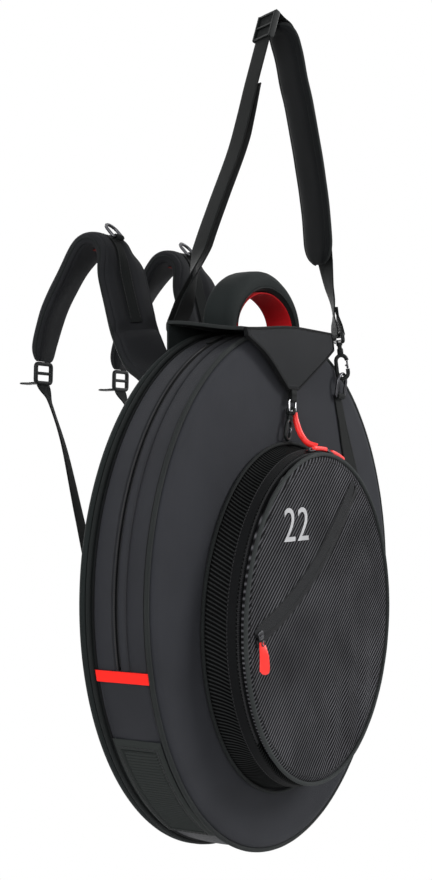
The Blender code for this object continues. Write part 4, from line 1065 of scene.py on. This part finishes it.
# %% Size number
left, right, foot, head = -0.1020, -0.0420, 0.0580, 0.0950
letters = bpy.data.curves.new("size number", "FONT")
letters.body = "22"
letters.extrude = 0.0002
letters.space_character = 1.06
holder = linked("size number", letters)
bpy.context.view_layer.update()
flat = bpy.data.meshes.new_from_object(holder.evaluated_get(bpy.context.evaluated_depsgraph_get()))
bpy.data.objects.remove(holder)
form = bmesh.new()
form.from_mesh(flat)
bpy.data.meshes.remove(flat)
(low_x, high_x), (low_y, high_y) = ((min(v.co[i] for v in form.verts), max(v.co[i] for v in form.verts))
                                    for i in (0, 1))
for vert in form.verts:
    x = left + (vert.co.x - low_x) / (high_x - low_x) * (right - left)
    z = foot + (vert.co.y - low_y) / (high_y - low_y) * (head - foot)
    vert.co = Vector((x, LID_TOP_Y - 0.0001 - vert.co.z, z))
bmesh.ops.recalc_face_normals(form, faces=form.faces)
finish("size_number", form, PRINT, LID, "bright_metal", smooth=False)
print("number is", round(right - left, 3), "wide")

# %% [markdown]
# The D-rings that carry the shoulder strap sit in loops of webbing. In front the
# webbing runs on as a long strip, sewn down on a slant towards the rim. The loop is a
# closed band round the ring's foot, and the strip a flat strap on the panel.

# %% Anchor webbing and D-rings
ANCHOR, LEFT_ANCHOR = Vector((0.1370, -0.0135, 0.2565)), Vector((-0.0770, 0.0992, 0.2565))
RING_WIRE, LOOP_WALL = 0.0020, 0.0016
foot_z = ANCHOR.z - 0.0300 + RING_WIRE
loop_half = 0.0140 - 2 * RING_WIRE - SEAT
loop_inner = RING_WIRE + SEAT


def loop_of_webbing(foot, half, inner, rise=0.0, wall=LOOP_WALL):
    """A closed band of webbing round a bar along X."""
    path, radius = [], inner + wall / 2
    for a in (TURN * k / 24 for k in range(24)):
        lift = rise if math.sin(a) > 0.001 else 0.0
        path.append(foot + Vector((0, radius * math.cos(a), lift + radius * math.sin(a))))
    return strap(path, SIDE, (half, wall / 2, 0.35), 14, True)


right_foot = Vector((ANCHOR.x, PANEL_FRONT - SEAT - LOOP_WALL - loop_inner, foot_z))
left_foot = Vector((LEFT_ANCHOR.x, BACK_FACE + SEAT + LOOP_WALL + loop_inner, foot_z))
finish("front_ring_loop", loop_of_webbing(right_foot, loop_half, loop_inner), WEBBING, FRONT, "webbing")
finish("rear_ring_loop", loop_of_webbing(left_foot, loop_half, loop_inner), WEBBING, REAR, "webbing")
STRIP = [(0.1370, 0.2285, 0.0097), (0.1500, 0.1980, 0.0110), (0.1640, 0.1660, 0.0150), (0.1810, 0.1300, 0.0185),
         (0.1980, 0.1085, 0.0205)]


def strip_place(u, v):
    t = v * (len(STRIP) - 1)
    i = min(int(t), len(STRIP) - 2)
    x, z, half = (a + (b - a) * (t - i) for a, b in zip(STRIP[i], STRIP[i + 1]))
    c, s = signed(math.cos(TURN * u), 0.3), signed(math.sin(TURN * u), 0.3)
    return Vector((x + c * half, PANEL_FRONT - SEAT - 0.0008 - s * 0.0008, z))


finish("front_anchor_strip", shaped(24, 30, strip_place, (0.05, 0.13), True), WEBBING, FRONT, "webbing",
       ["anchor_strip"])
tab = plate([(LEFT_ANCHOR.x + s * loop_half, 0, foot_z + z) for s, z in ((-1, -0.030), (1, -0.030), (1, 0), (-1, 0))],
            0.001, INWARD, BACK_FACE + SEAT, BACK_FACE + SEAT + LOOP_WALL, 0.0004)
finish("rear_anchor_tab", tab, WEBBING, REAR, "webbing", ["back_anchor"])
rows = [[Vector((x + s * half * 0.8, PANEL_FRONT - SEAT - 0.0017, z)) for x, z, half in STRIP[1:]] for s in (-1, 1)]
stitched("front_anchor_stitches", rows, FRONT)
corners = [Vector((LEFT_ANCHOR.x + s * 0.007, BACK_FACE + 0.0020, foot_z + z)) for s, z in
           ((-1, -0.027), (1, -0.027), (1, -0.006), (-1, -0.006), (-1, -0.027), (1, -0.006))]
stitched("rear_anchor_stitches", [corners, [corners[1], corners[3]]], REAR, 0.003)


def d_ring(name, foot, top, width, body, node):
    """A straight bar at the foot and an arch up to the top."""
    rise, up = (top - foot).length, (top - foot).normalized()
    half = width / 2 - RING_WIRE
    path = [foot - SIDE * half, foot + SIDE * half]
    path += [foot + SIDE * half * math.cos(a) + up * (rise - half + half * math.sin(a))
             for a in (math.pi * k / 24 for k in range(1, 24))]
    finish(name, bar(rounded(path, 0.0015, 3), RING_WIRE, 14, True), DARK_STEEL, body, "bright_metal", [node])


d_ring("front_d_ring", right_foot, ANCHOR, 0.0280, FRONT, "d_ring_right")
d_ring("rear_d_ring", left_foot, LEFT_ANCHOR, 0.0280, REAR, "d_ring_left")
print("ring feet at z", round(foot_z, 4))

# %% [markdown]
# A swivel snap hook has an eye for the webbing, a neck that turns in it, and a C with
# a sprung gate. All are bent round bars, so each is a bar carried along its own line,
# with a turned collar for the swivel. The strap hooks have the numbers of the rigid
# ones, and the small hook on the flap is a little stouter than its solid.

# %% Snap hooks
STRAP_HOOK = {"wire": 0.0025, "height": 0.0340, "width": 0.0190, "neck": 0.0120, "neck_radius": 0.0034,
              "eye": 0.0095, "eye_width": 0.0336}
FLAP_HOOK = {"wire": 0.0020, "height": 0.0270, "width": 0.0160, "neck": 0.0042, "neck_radius": 0.0032,
             "eye": 0.0070, "eye_width": 0.0050}


def together(*forms):
    """Several closed forms in one mesh."""
    whole = bmesh.new()
    whole.loops.layers.uv.new("UVMap")
    for form in forms:
        part = bpy.data.meshes.new("part")
        form.to_mesh(part)
        form.free()
        whole.from_mesh(part)
        bpy.data.meshes.remove(part)
    return whole


def reach(hook):
    return hook["height"] + hook["neck"] + hook["eye"]


def hook_place(ring_top, bar_way, up):
    """A strap hook's lowest point, the way of its eye's bar, its side and its up."""
    up = up.normalized()
    bar_way = (bar_way - up * bar_way.dot(up)).normalized()
    return ring_top - up * (RING_WIRE + 0.0014 + STRAP_HOOK["wire"]), bar_way, bar_way.cross(up), up


def collar(start, way, profile, around=20):
    """A turned shape along a way: profile gives (distance, radius)."""
    last = len(profile) - 1
    return strap([start + way * d for d, _ in profile], way.orthogonal().normalized(),
                 lambda v: oblong(profile[round(v * last)][1], profile[round(v * last)][1]), around)


def snap_hook(name, gate_name, hook, place, body, gate_body):
    low, bar_way, side, up = place
    wire = hook["wire"]
    half, top = hook["width"] / 2 - wire, hook["height"] - 2 * wire
    base, gap = hook["height"] + hook["neck"], 0.40 * top

    def at(b, s, u):
        return low + bar_way * b + side * s + up * u

    bend = [math.pi * k / 16 for k in range(17)]
    line = [at(0, half * math.cos(a), top - half + half * math.sin(a)) for a in bend]
    line += [at(0, half * math.cos(math.pi + a), half + half * math.sin(math.pi + a)) for a in bend]
    line.append(at(0, half, gap))
    n, r = hook["neck"] + 2 * wire + 0.0025, hook["neck_radius"] * 1.15
    neck = collar(at(0, 0, top), up, [(n * d, r * share) for d, share in (
        (0, 0.8), (0.12, 1), (0.4, 1), (0.46, 0.72), (0.6, 0.72), (0.66, 1), (0.9, 1), (1, 0.85))])
    w = hook["eye_width"] / 2 + wire
    eye_line = [at(-w, 0, base), at(w, 0, base), at(w, 0, base + hook["eye"]), at(-w, 0, base + hook["eye"])]
    eye = bar(rounded(eye_line, 0.0030, 5), wire, 14, True)
    finish(f"{name}_wire", together(bar(line, wire, 14), neck, eye), PLASTIC, body, "black_plastic", [name])
    long = top - half - SEAT - (gap + SEAT)
    gate = collar(at(0, half, gap + SEAT), up, [(0, 0.0010), (0.0006, 0.0014), (long * 0.55, 0.0014),
                                                (long * 0.6, 0.00125), (long, 0.0014)], 12)
    thumb = collar(at(0, half, gap + SEAT + 0.004), -side, [(0, 0.0010), (0.0022, 0.0012), (0.0030, 0.0008)], 10)
    finish(f"{gate_name}_wire", together(gate, thumb), DARK_STEEL, gate_body, "bright_metal", [gate_name])


along = Vector((ANCHOR.x - LEFT_ANCHOR.x, ANCHOR.y - LEFT_ANCHOR.y, 0)).normalized()
across = Vector((-along.y, along.x, 0))
offset = across * across.dot(Vector((ANCHOR.x, ANCHOR.y, 0)))
right_place = hook_place(ANCHOR, Vector((0.770, 0.640, 0)), UP - along * 0.15)
left_place = hook_place(LEFT_ANCHOR, SIDE, UP)
snap_hook("snap_hook_right", "hook_gate_right", STRAP_HOOK, right_place, FRONT, "gate_right")
snap_hook("snap_hook_left", "hook_gate_left", STRAP_HOOK, left_place, REAR, "gate_left")
print("strap hooks: 2")

# %% [markdown]
# The shoulder pad is foam between two layers of cloth with a seam just inside its
# edge, and its lower end is rounded. The webbing goes over the pad's back, down
# through both hooks and back on itself, with an open gap between the two layers.

# %% Shoulder pad
PAD_ROUTE = [(0.0210, 0.6765), (0.0341, 0.6690), (0.0446, 0.6446), (0.0522, 0.6125), (0.0613, 0.5792),
             (0.0758, 0.5130), (0.0850, 0.4594), (0.0903, 0.4052), (0.0919, 0.3904)]
PAD_STEPS, PAD_SQUARE = 130, 0.62


def on_plane(route):
    """Points of the strap's own upright plane, which runs from one anchor to the other."""
    return [along * s + offset + UP * z for s, z in route]


def round_end(d, reach, least):
    """Share of the full width at distance d from a rounded end."""
    t = max(0.0, min(1.0, d / reach))
    return least + (1 - least) * math.sqrt(1 - (1 - t) ** 2)


def pressed(u, out, depth):
    """A way into the pad for its two faces; depth(place, s) is given the place across the pad."""
    s = math.sin(TURN * u)
    return -out * math.copysign(1, s) * depth(signed(math.cos(TURN * u), PAD_SQUARE), s) if abs(s) > 0.05 else Vector()


def dent(distance, width):
    return math.exp(-(distance / width) ** 2)


pad_path = curve_through(on_plane(PAD_ROUTE), PAD_STEPS)
pad_left = [min(run_of(pad_path[:k + 1]), run_of(pad_path[k:])) for k in range(PAD_STEPS + 1)]


def pad_section(v):
    d = pad_left[round(v * PAD_STEPS)]
    return oblong(0.0260 * round_end(d, 0.030, 0.12), 0.0073 * round_end(d, 0.014, 0.3), PAD_SQUARE)


def pad_relief(u, v, spot, across, out):
    return pressed(u, out, lambda place, s: 0.0013 * dent(abs(place) - 0.80, 0.045)
                   + 0.0007 * swelling(spot, 0.03, 6.0))


finish("shoulder_pad_cloth", strap(pad_path, across, pad_section, 56, relief=pad_relief), PAD_CLOTH, FRONT,
       "trim_fabric", ["shoulder_pad"])
for side_name, sign in (("near", -1), ("far", 1)):
    edge = [p + across * sign * 0.0256 * round_end(d, 0.030, 0.12) for p, d in zip(pad_path, pad_left)]
    finish(f"shoulder_pad_binding_{side_name}", bar(edge[1:-1], 0.0014, 10), BINDING, FRONT, "trim_fabric")
print("pad is", round(run_of(pad_path), 3), "m long")

# %% [markdown]
# One length of webbing makes the whole shoulder strap. It turns from the direction of
# the hook's eye to that of the pad as it rises.
# The left run's inner layer ends part of the way up.

# %% Shoulder webbing
STEPS = 100
LEFT_ROUTE = [(0.0170, 0.6915), (0.0033, 0.6457), (-0.0105, 0.5997), (-0.0216, 0.5600), (-0.0352, 0.5170),
              (-0.0609, 0.4550), (-0.0805, 0.4060), (-0.1000, 0.3500)]
WEB_GAP, WEB_THICK = 0.0006, 0.0010


def wrap(bar_at, side):
    """Half a turn round the bar of a hook's eye."""
    radius = STRAP_HOOK["wire"] + WEB_GAP + WEB_THICK
    return [bar_at + side * (radius * math.cos(a)) - UP * (radius * math.sin(a))
            for a in (math.pi * k / 14 for k in range(15))]


def webbing_strap(path, foot, eye, turned=None):
    """Webbing that lies along the hook's bar at its foot and along the pad at its top, and may turn between."""
    turned = turned or foot
    sides = []
    for height in (p.z - eye.z for p in path):
        high = max(0.0, min(1.0, (height - 0.025) / 0.065))
        low = eased((height - 0.006) / 0.018)
        sides.append((foot * (1 - low) + turned * low) * (1 - high) + across * high)
    return strap(path, sides, (0.0150, WEB_THICK, 0.3))


right_eye, left_eye = (place[0] + place[3] * reach(STRAP_HOOK) for place in (right_place, left_place))
near, far = wrap(right_eye, right_place[2]), wrap(left_eye, INWARD)
stand = 0.0120 * 1.25 / 2 + WEB_GAP + WEB_THICK
coarse = curve_through(on_plane(PAD_ROUTE), 26)
outer = [p - across.cross(w) * stand for p, w in zip(coarse, ways(coarse))][1::2]
rise = curve_through([near[-1], *on_plane([(0.1120, 0.3420), (0.1060, 0.3650)]), *reversed(outer)], STEPS)
descent = curve_through([*on_plane(LEFT_ROUTE), far[0]], STEPS)
inner = []
for k, p in enumerate(descent[:-1]):
    foot_share = max(0.0, (k / STEPS - 0.7) / 0.3)
    open_share = min(1.0, k / STEPS / 0.45)
    inner.append(p + along * 0.0080 * open_share * (1 - foot_share) + (far[-1] - far[0]) * foot_share)
sewn_end = [rise[k] + (near[0] - near[-1]) * (1 - 0.10 * k) for k in (6, 4, 2)]
right_run = [*sewn_end, *near[:-1], *rise]
left_run = [rise[-1], *descent[:-1], *far, *reversed(inner[25:])]
finish("shoulder_webbing_right", webbing_strap(right_run, right_place[1], right_eye, Vector((0.890, 0.456, 0))),
       WEBBING, FRONT, "webbing", ["shoulder_webbing"])
finish("shoulder_webbing_left", webbing_strap(left_run, left_place[1], left_eye), WEBBING,
       (FRONT, REAR, descent[26], left_eye), "webbing", ["shoulder_webbing"])
print("webbing:", round(run_of(right_run) + run_of(left_run), 2), "m")

# %% [markdown]
# The adjuster is a moulded frame with three bars over the webbing and one under it.
# It sits just below the top, where the two runs meet.

# %% Adjuster
run40 = curve_through([*on_plane(LEFT_ROUTE), far[0]], 40)
glide_way = (run40[3] - run40[1]).normalized()
glide_out = across.cross(glide_way)
rail_at, face_at, bar_half = 0.0150 + WEB_GAP + 0.0013, WEB_THICK + WEB_GAP, 0.0010


def on_glide(a, w, o):
    return run40[2] + across * a + glide_way * w + glide_out * o


def rail_section(v):
    return oblong(0.0013, (face_at + 0.0026) * (0.62 if v in (0, 1) else 1), 0.35)


parts = [strap([on_glide(sign * rail_at, w * 0.0170, 0) for w in (-1, -0.93, -0.5, 0, 0.5, 0.93, 1)], across,
               rail_section, 20) for sign in (-1, 1)]
parts += [strap([on_glide(a * rail_at, w, o) for a in (-1, -0.4, 0.4, 1)], glide_way, (wide, bar_half, 0.45), 14)
          for w, o, wide in ((-0.0151, face_at + bar_half, 0.0013), (0, face_at + bar_half, 0.0013),
                             (0.0151, face_at + bar_half, 0.0013), (0, -face_at - bar_half, 0.0026))]
finish("tri_glide_moulding", together(*parts), PLASTIC, "strap_adjuster", "black_plastic", ["tri_glide"])
print("adjuster parts:", len(parts))

# %% [markdown]
# From the flap's tip hangs a webbing loop with a chromed wire ring. A small snap hook
# and the red cord hang from the ring. The cord is a curve with round thickness.

# %% Flap ring, hook and cord
FINE_WIRE = 0.0012
half = 0.0065 + FINE_WIRE + SEAT
bar_at = Vector((0, -0.0118, FLAP_TIP_Z - SEAT - LOOP_WALL - (FINE_WIRE + SEAT) - 0.0100))
ring_low = bar_at - UP * 0.0130
finish("flap_loop_webbing", loop_of_webbing(bar_at, 0.0065, FINE_WIRE + SEAT, 0.0100), WEBBING, "flap", "webbing",
       ["flap_loop"])
ring_line = [bar_at - SIDE * half, bar_at + SIDE * half, ring_low + SIDE * half, ring_low - SIDE * half]
finish("flap_wire_ring", bar(rounded(ring_line, 0.0022, 5), FINE_WIRE, 12, True), STEEL, "flap", "bright_metal",
       ["flap_ring"])
hook_up = Vector((0.30, 0, 1)).normalized()
hook_low = ring_low + Vector((-0.0030, 0, FINE_WIRE + SEAT + FLAP_HOOK["wire"])) - hook_up * reach(FLAP_HOOK)
snap_hook("flap_hook", "flap_hook_gate", FLAP_HOOK, (hook_low, INWARD, INWARD.cross(hook_up), hook_up),
          "flap_snap_hook", "flap_snap_gate")

CORD_ROUTE = [(0.0055, -0.0118, 0.2034), (0.0056, -0.0130, 0.1960), (0.0075, -0.0180, 0.1800),
              (0.0120, -0.0250, 0.1685), (0.0180, -0.0350, 0.1640)]
CORD_DIAMETER = 0.0072
cord_path = curve_through(CORD_ROUTE, 40)
line = bpy.data.curves.new("red_pull_cord", "CURVE")
line.dimensions = "3D"
line.bevel_depth = CORD_DIAMETER / 2
line.bevel_resolution = 5
line.use_fill_caps = True
spline = line.splines.new("POLY")
spline.points.add(len(cord_path) - 1)
for point, place in zip(spline.points, cord_path):
    point.co = (*(place - HANG), 1)
cord = linked("red_pull_cord", line)
line.materials.append(RED_CORD)
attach(cord, "flap")
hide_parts("pull_cord")
run_of(cord_path)
print("cord:", round(run_of(cord_path), 4), "m")

# %% [markdown]
# A zip slider is a small metal body with a bridge over it, and its pull hangs from the
# bridge. The main zip's pulls are black tapes that lie in the roof's shade; the
# pocket's are thick red tubes. Each follows the curve of its own zip.

# %% Sliders and pulls
SLIDER_HALF, PULL_LONG, PULL_STEP = 0.0055, 0.0340, 0.0012
SLIDER = [(-0.0055, 0.0034), (-0.0050, 0.0042), (-0.002, 0.0042), (0.002, 0.0048), (0.0048, 0.0044), (0.0055, 0.0030)]


def slider(name, spot, way, out, side, plate_at, thick, bridge_at, look, body, slot, node):
    """A slider's plate and bridge at a spot on a zip."""
    base = strap([spot + out * plate_at + way * w for w, _ in SLIDER], side,
                 lambda v: oblong(SLIDER[round(v * 5)][1], thick, 0.35), 18)
    bridge = [spot + out * o + way * w
              for o, w in ((bridge_at, -0.0042), (0.0034, -0.0036), (0.0034, 0.0020), (bridge_at, 0.0034))]
    bridge = bar(rounded(bridge, 0.0012, 4, loop=False), 0.0008, 10)
    finish(name, together(base, bridge), look, body, slot, [node])


def slider_and_pull(zip_name, name, kind, radius, y, angle, way, centre, half_height, looks, slots):
    """A slider on a zip that runs round an axis along Y, and the pull that lies along the zip behind it."""
    body = f"{zip_name}_slide_{name}"
    out = polar(1, 0, angle)
    slider(f"{zip_name}_slider_{name}_body", polar(radius, y, angle, centre), Vector((-out.z, 0, out.x)), out, INWARD,
           0.0008, 0.0008, 0.0012, looks[0], body, slots[0], f"{zip_name}_slider_{name}")
    start = angle - way * (SLIDER_HALF + SEAT) / radius
    path = arc(radius + half_height, y, start, start - way * PULL_LONG / radius, centre, PULL_STEP)

    def section(v):
        d = min(v, 1 - v) * (len(path) - 1) * PULL_STEP
        wide = 0.0042 * (0.62 + 0.38 * min(1.0, v / 0.45)) * round_end(d, 0.0042, 0.3)
        return oblong(wide, half_height * round_end(d, 0.0012, 0.4), 0.55)

    finish(f"{zip_name}_pull_{name}_{kind}", strap(path, INWARD, section, 20), looks[1], body, slots[1],
           [f"{zip_name}_pull_{name}"])


for name, way in (("right", 1), ("left", -1)):
    slider_and_pull("main", name, "tape", GUSSET_OUT + 0.0006, ZIP_Y, math.pi / 2 - way * math.radians(13.5), way,
                    MIDDLE, 0.0009, (PLASTIC, WEBBING), ("black_plastic", "webbing"))
radius = POCKET_RADIUS + 0.0050 * (POCKET_BASE - POCKET_RADIUS) / 0.0368 + 0.0006
apart = (2 * SLIDER_HALF + PULL_LONG + SEAT + 0.0032) / radius
for name, shift in (("right", 0), ("left", apart)):
    slider_and_pull("pocket", name, "tube", radius, POCKET_ZIP_Y, math.radians(80.5) + shift, 1, POCKET, 0.0027,
                    (DARK_STEEL, RED_CORD), ("bright_metal", "red_textile"))
print("sliders: 4")

# %% [markdown]
# The slider on the lid lies flat and its red tab hangs from a small black ring. The
# tab widens downwards, its lower end is a shallow round, and it hangs half turned.

# %% Lid slider and tab
angle = SLOT_FROM + 0.025 * (SLOT_TO - SLOT_FROM)
spot = polar(SLOT_RADIUS, LID_FACE - 0.0012 - 2 * SEAT - 0.0012, angle, SLOT_CENTRE)
out = polar(1, 0, angle)
slider("lid_slider_metal", spot, Vector((-out.z, 0, out.x)), -INWARD, out, 0.0010, 0.0009, 0.0014, DARK_STEEL,
       "lid_slide", "bright_metal", "lid_slider")
pin = spot - Vector((0, 0.0030, 0.0066))
TAB = [(0.0, 0.0034), (-0.0010, 0.0044), (-0.0060, 0.0048), (-0.0150, 0.0052), (-0.0240, 0.0056), (-0.0290, 0.0057),
       (-0.0315, 0.0052), (-0.0326, 0.0040), (-0.0330, 0.0026)]
tab_line, tab_sides = [], []
for z, w in TAB:
    twist = math.radians(40) * min(1.0, -z / 0.012)
    tab_sides.append(Vector((math.cos(twist), -math.sin(twist), 0)))
    tab_line.append(pin + Vector((0, 0.0009 - w * math.sin(twist), z)))
finish("lid_red_tab", strap(tab_line, tab_sides, lambda v: oblong(TAB[round(v * 8)][1], 0.0009, 0.45), 24),
       RED_RUBBER, "lid_pull", "red_textile", ["lid_tab"])
ring_path = ring(0.0027, -0.0012, 28, pin - UP * 0.0013)
finish("lid_tab_ring", bar(ring_path, 0.0007, 10, True), DARK_STEEL, "lid_pull", "black_plastic")
print("lid tab drops 33 mm")

# %% [markdown]
# The two backpack straps are thick pads. On the outer side each has two padded tubes
# with a flat channel between them, and webbing sewn into the channel carries a wire
# ring. Further down a crease crosses the pad where it bends over the shoulder. Below
# the pad a ladder buckle with its lever holds the webbing that runs to the lower edge.

# %% Backpack straps
PACK_ROUTE = [(0.0882, 0.1650), (0.0965, 0.2000), (0.1090, 0.2250), (0.1240, 0.2470), (0.1380, 0.2680),
              (0.1520, 0.3000), (0.1650, 0.3450), (0.1760, 0.3850), (0.1900, 0.4060), (0.2120, 0.4050),
              (0.2400, 0.3750), (0.2680, 0.3300), (0.2820, 0.2900), (0.2840, 0.2680)]
PACK_TAIL = [(0.2700, 0.2080), (0.2520, 0.1600), (0.2300, 0.0770), (0.2000, -0.0300), (0.1500, -0.1300),
             (0.1120, -0.1820), (0.0850, -0.2150)]
PACK_STEPS, TAIL_STEPS, PACK_HALF, CREASE, BUCKLE_WIRE = 128, 90, 0.0325, 0.385, 0.0024
LEVER = [(0, 0.0112, 0.0012), (0.06, 0.0122, 0.0015), (0.2, 0.0122, 0.0015), (0.45, 0.0108, 0.0012),
         (0.7, 0.0100, 0.0013), (0.88, 0.0098, 0.0015), (0.96, 0.0090, 0.0013), (1, 0.0070, 0.0008)]


def pack_half(v):
    """Half the pad's width and thickness; towards the buckle it narrows more."""
    d = min(v, 1 - v)
    narrowing = 0.80 + 0.20 * round_end(d, 0.11, 0.0) if v < 0.5 else 0.66 + 0.34 * round_end(d, 0.40, 0.0)
    return PACK_HALF * narrowing, 0.0108 * (0.40 + 0.60 * round_end(d, 0.12, 0.0))


def pack_relief(u, v, spot, across, out):
    def depth(place, s):
        crease = 0.0050 * dent(v - CREASE, 0.012) if s > 0 else 0.0
        channel = 0.0034 / (1 + math.exp((abs(place) - 0.38) / 0.02)) if s > 0 and v > CREASE else 0.0
        return max(crease, channel) + 0.0012 * dent(abs(place) - 0.86, 0.03) + 0.0020 * swelling(spot, 0.035, 8.0)

    return pressed(u, out, depth)


def pack_turn(v):
    """How far the pad is turned about its own run: it faces outwards above the bag and inwards below the ring."""
    near_limb = eased((v - 0.18) / 0.14) * eased((0.57 - v) / 0.08)
    return -math.radians(24 * near_limb + 14 * eased((v - 0.68) / 0.12))


def backpack(name, x):
    def routed(route, count, *start):
        return curve_through([*start, *[(x, y, z) for y, z in route]], count)

    route = routed(PACK_ROUTE, PACK_STEPS)
    turns = ways(route)
    sides = [Matrix.Rotation(pack_turn(k / PACK_STEPS), 3, w) @ SIDE for k, w in enumerate(turns)]
    places = list(zip(route, sides, (side.cross(w) for side, w in zip(sides, turns)),
                      (pack_half(k / PACK_STEPS) for k in range(PACK_STEPS + 1))))
    pad = strap(route, sides, lambda v: oblong(*pack_half(v), PAD_SQUARE), 64, relief=pack_relief)
    finish(f"backpack_pad_{name}_cloth", pad, PACK_CLOTH, REAR, "trim_fabric", [f"backpack_pad_{name}"])
    for side_name, sign in (("outer", -1), ("inner", 1)):
        edge = [p + side * sign * (half[0] - 0.0006) for p, side, out, half in places]
        finish(f"backpack_binding_{name}_{side_name}", bar(edge[1:-1], 0.0016, 10), BINDING, REAR, "trim_fabric")
    line = [p + out * (half[1] - 0.0030) for p, side, out, half in places[51:126]]
    finish(f"backpack_channel_{name}", strap(line, sides[51:126], (0.0078, 0.0010, 0.3), 14), WEBBING, REAR, "webbing")
    stitched(f"backpack_stitches_{name}",
             [[p + side * sign * 0.0066 + out * (half[1] - 0.0020) for p, side, out, half in places[52:125]]
              for sign in (-1, 1)], REAR)
    line = [p - out * (half[1] + 0.0002) for p, side, out, half in places[82:88]]
    finish(f"backpack_red_label_{name}", strap(line, sides[82:88], (0.0120, 0.0006, 0.3), 14), RED_LABEL, REAR,
           "red_textile")

    coarse = routed(PACK_ROUTE, 32)
    way = (coarse[-1] - coarse[-2]).normalized()
    top = coarse[-1] + way * (BUCKLE_WIRE + SEAT)
    low = top + way * 0.0230
    w = 0.0125 + BUCKLE_WIRE + SEAT
    frame_line = rounded([top - SIDE * w, top + SIDE * w, low + SIDE * w, low - SIDE * w], 0.0045, 6)
    ladder = strap(frame_line, SIDE.cross(way), (0.0022, BUCKLE_WIRE, 0.5), 16, True)
    rung = bar([(top + low) / 2 - SIDE * w, (top + low) / 2 + SIDE * w], 0.0020, 14)
    finish(f"buckle_{name}_ladder", together(ladder, rung), PLASTIC, REAR, "black_plastic", [f"buckle_{name}"])
    root = low + Vector((0, BUCKLE_WIRE + SEAT + 0.0009, 0))
    lever = strap([root + Vector((0, 0.0260 * t, 0)) for t, *_ in LEVER], SIDE,
                  lambda v: oblong(*LEVER[round(v * 7)][1:], 0.5), 24)
    finish(f"buckle_lever_{name}_moulding", lever, PLASTIC, f"lever_{name}", "black_plastic", [f"buckle_lever_{name}"])

    tail = routed(PACK_TAIL, TAIL_STEPS, low + way * (BUCKLE_WIRE + SEAT))
    tail_sides = []
    for t, w in zip((k / TAIL_STEPS for k in range(TAIL_STEPS + 1)), ways(tail)):
        twist = -math.radians(18 + 9 * math.sin(9 * t)) * eased(t / 0.10) * eased((1 - t) / 0.15)
        tail_sides.append(Matrix.Rotation(twist, 3, w) @ SIDE)
    finish(f"backpack_webbing_{name}_woven", strap(tail, tail_sides, (0.0125, 0.0010, 0.3), 14), WEBBING, REAR,
           "webbing", [f"backpack_webbing_{name}"])
    ring_way = ways(coarse)[19]
    foot = coarse[19] + SIDE.cross(ring_way) * (0.0180 * 1.25 / 2 + RING_WIRE + 0.0006)
    d_ring(f"backpack_ring_{name}_wire", foot, foot + ring_way * 0.0220, 0.0250, f"loose_ring_{name}",
           f"backpack_ring_{name}")
    finish(f"backpack_ring_loop_{name}", loop_of_webbing(foot, 0.0074, loop_inner, wall=0.0014), WEBBING, REAR,
           "webbing")


backpack("left", -0.0850)
backpack("right", 0.0850)
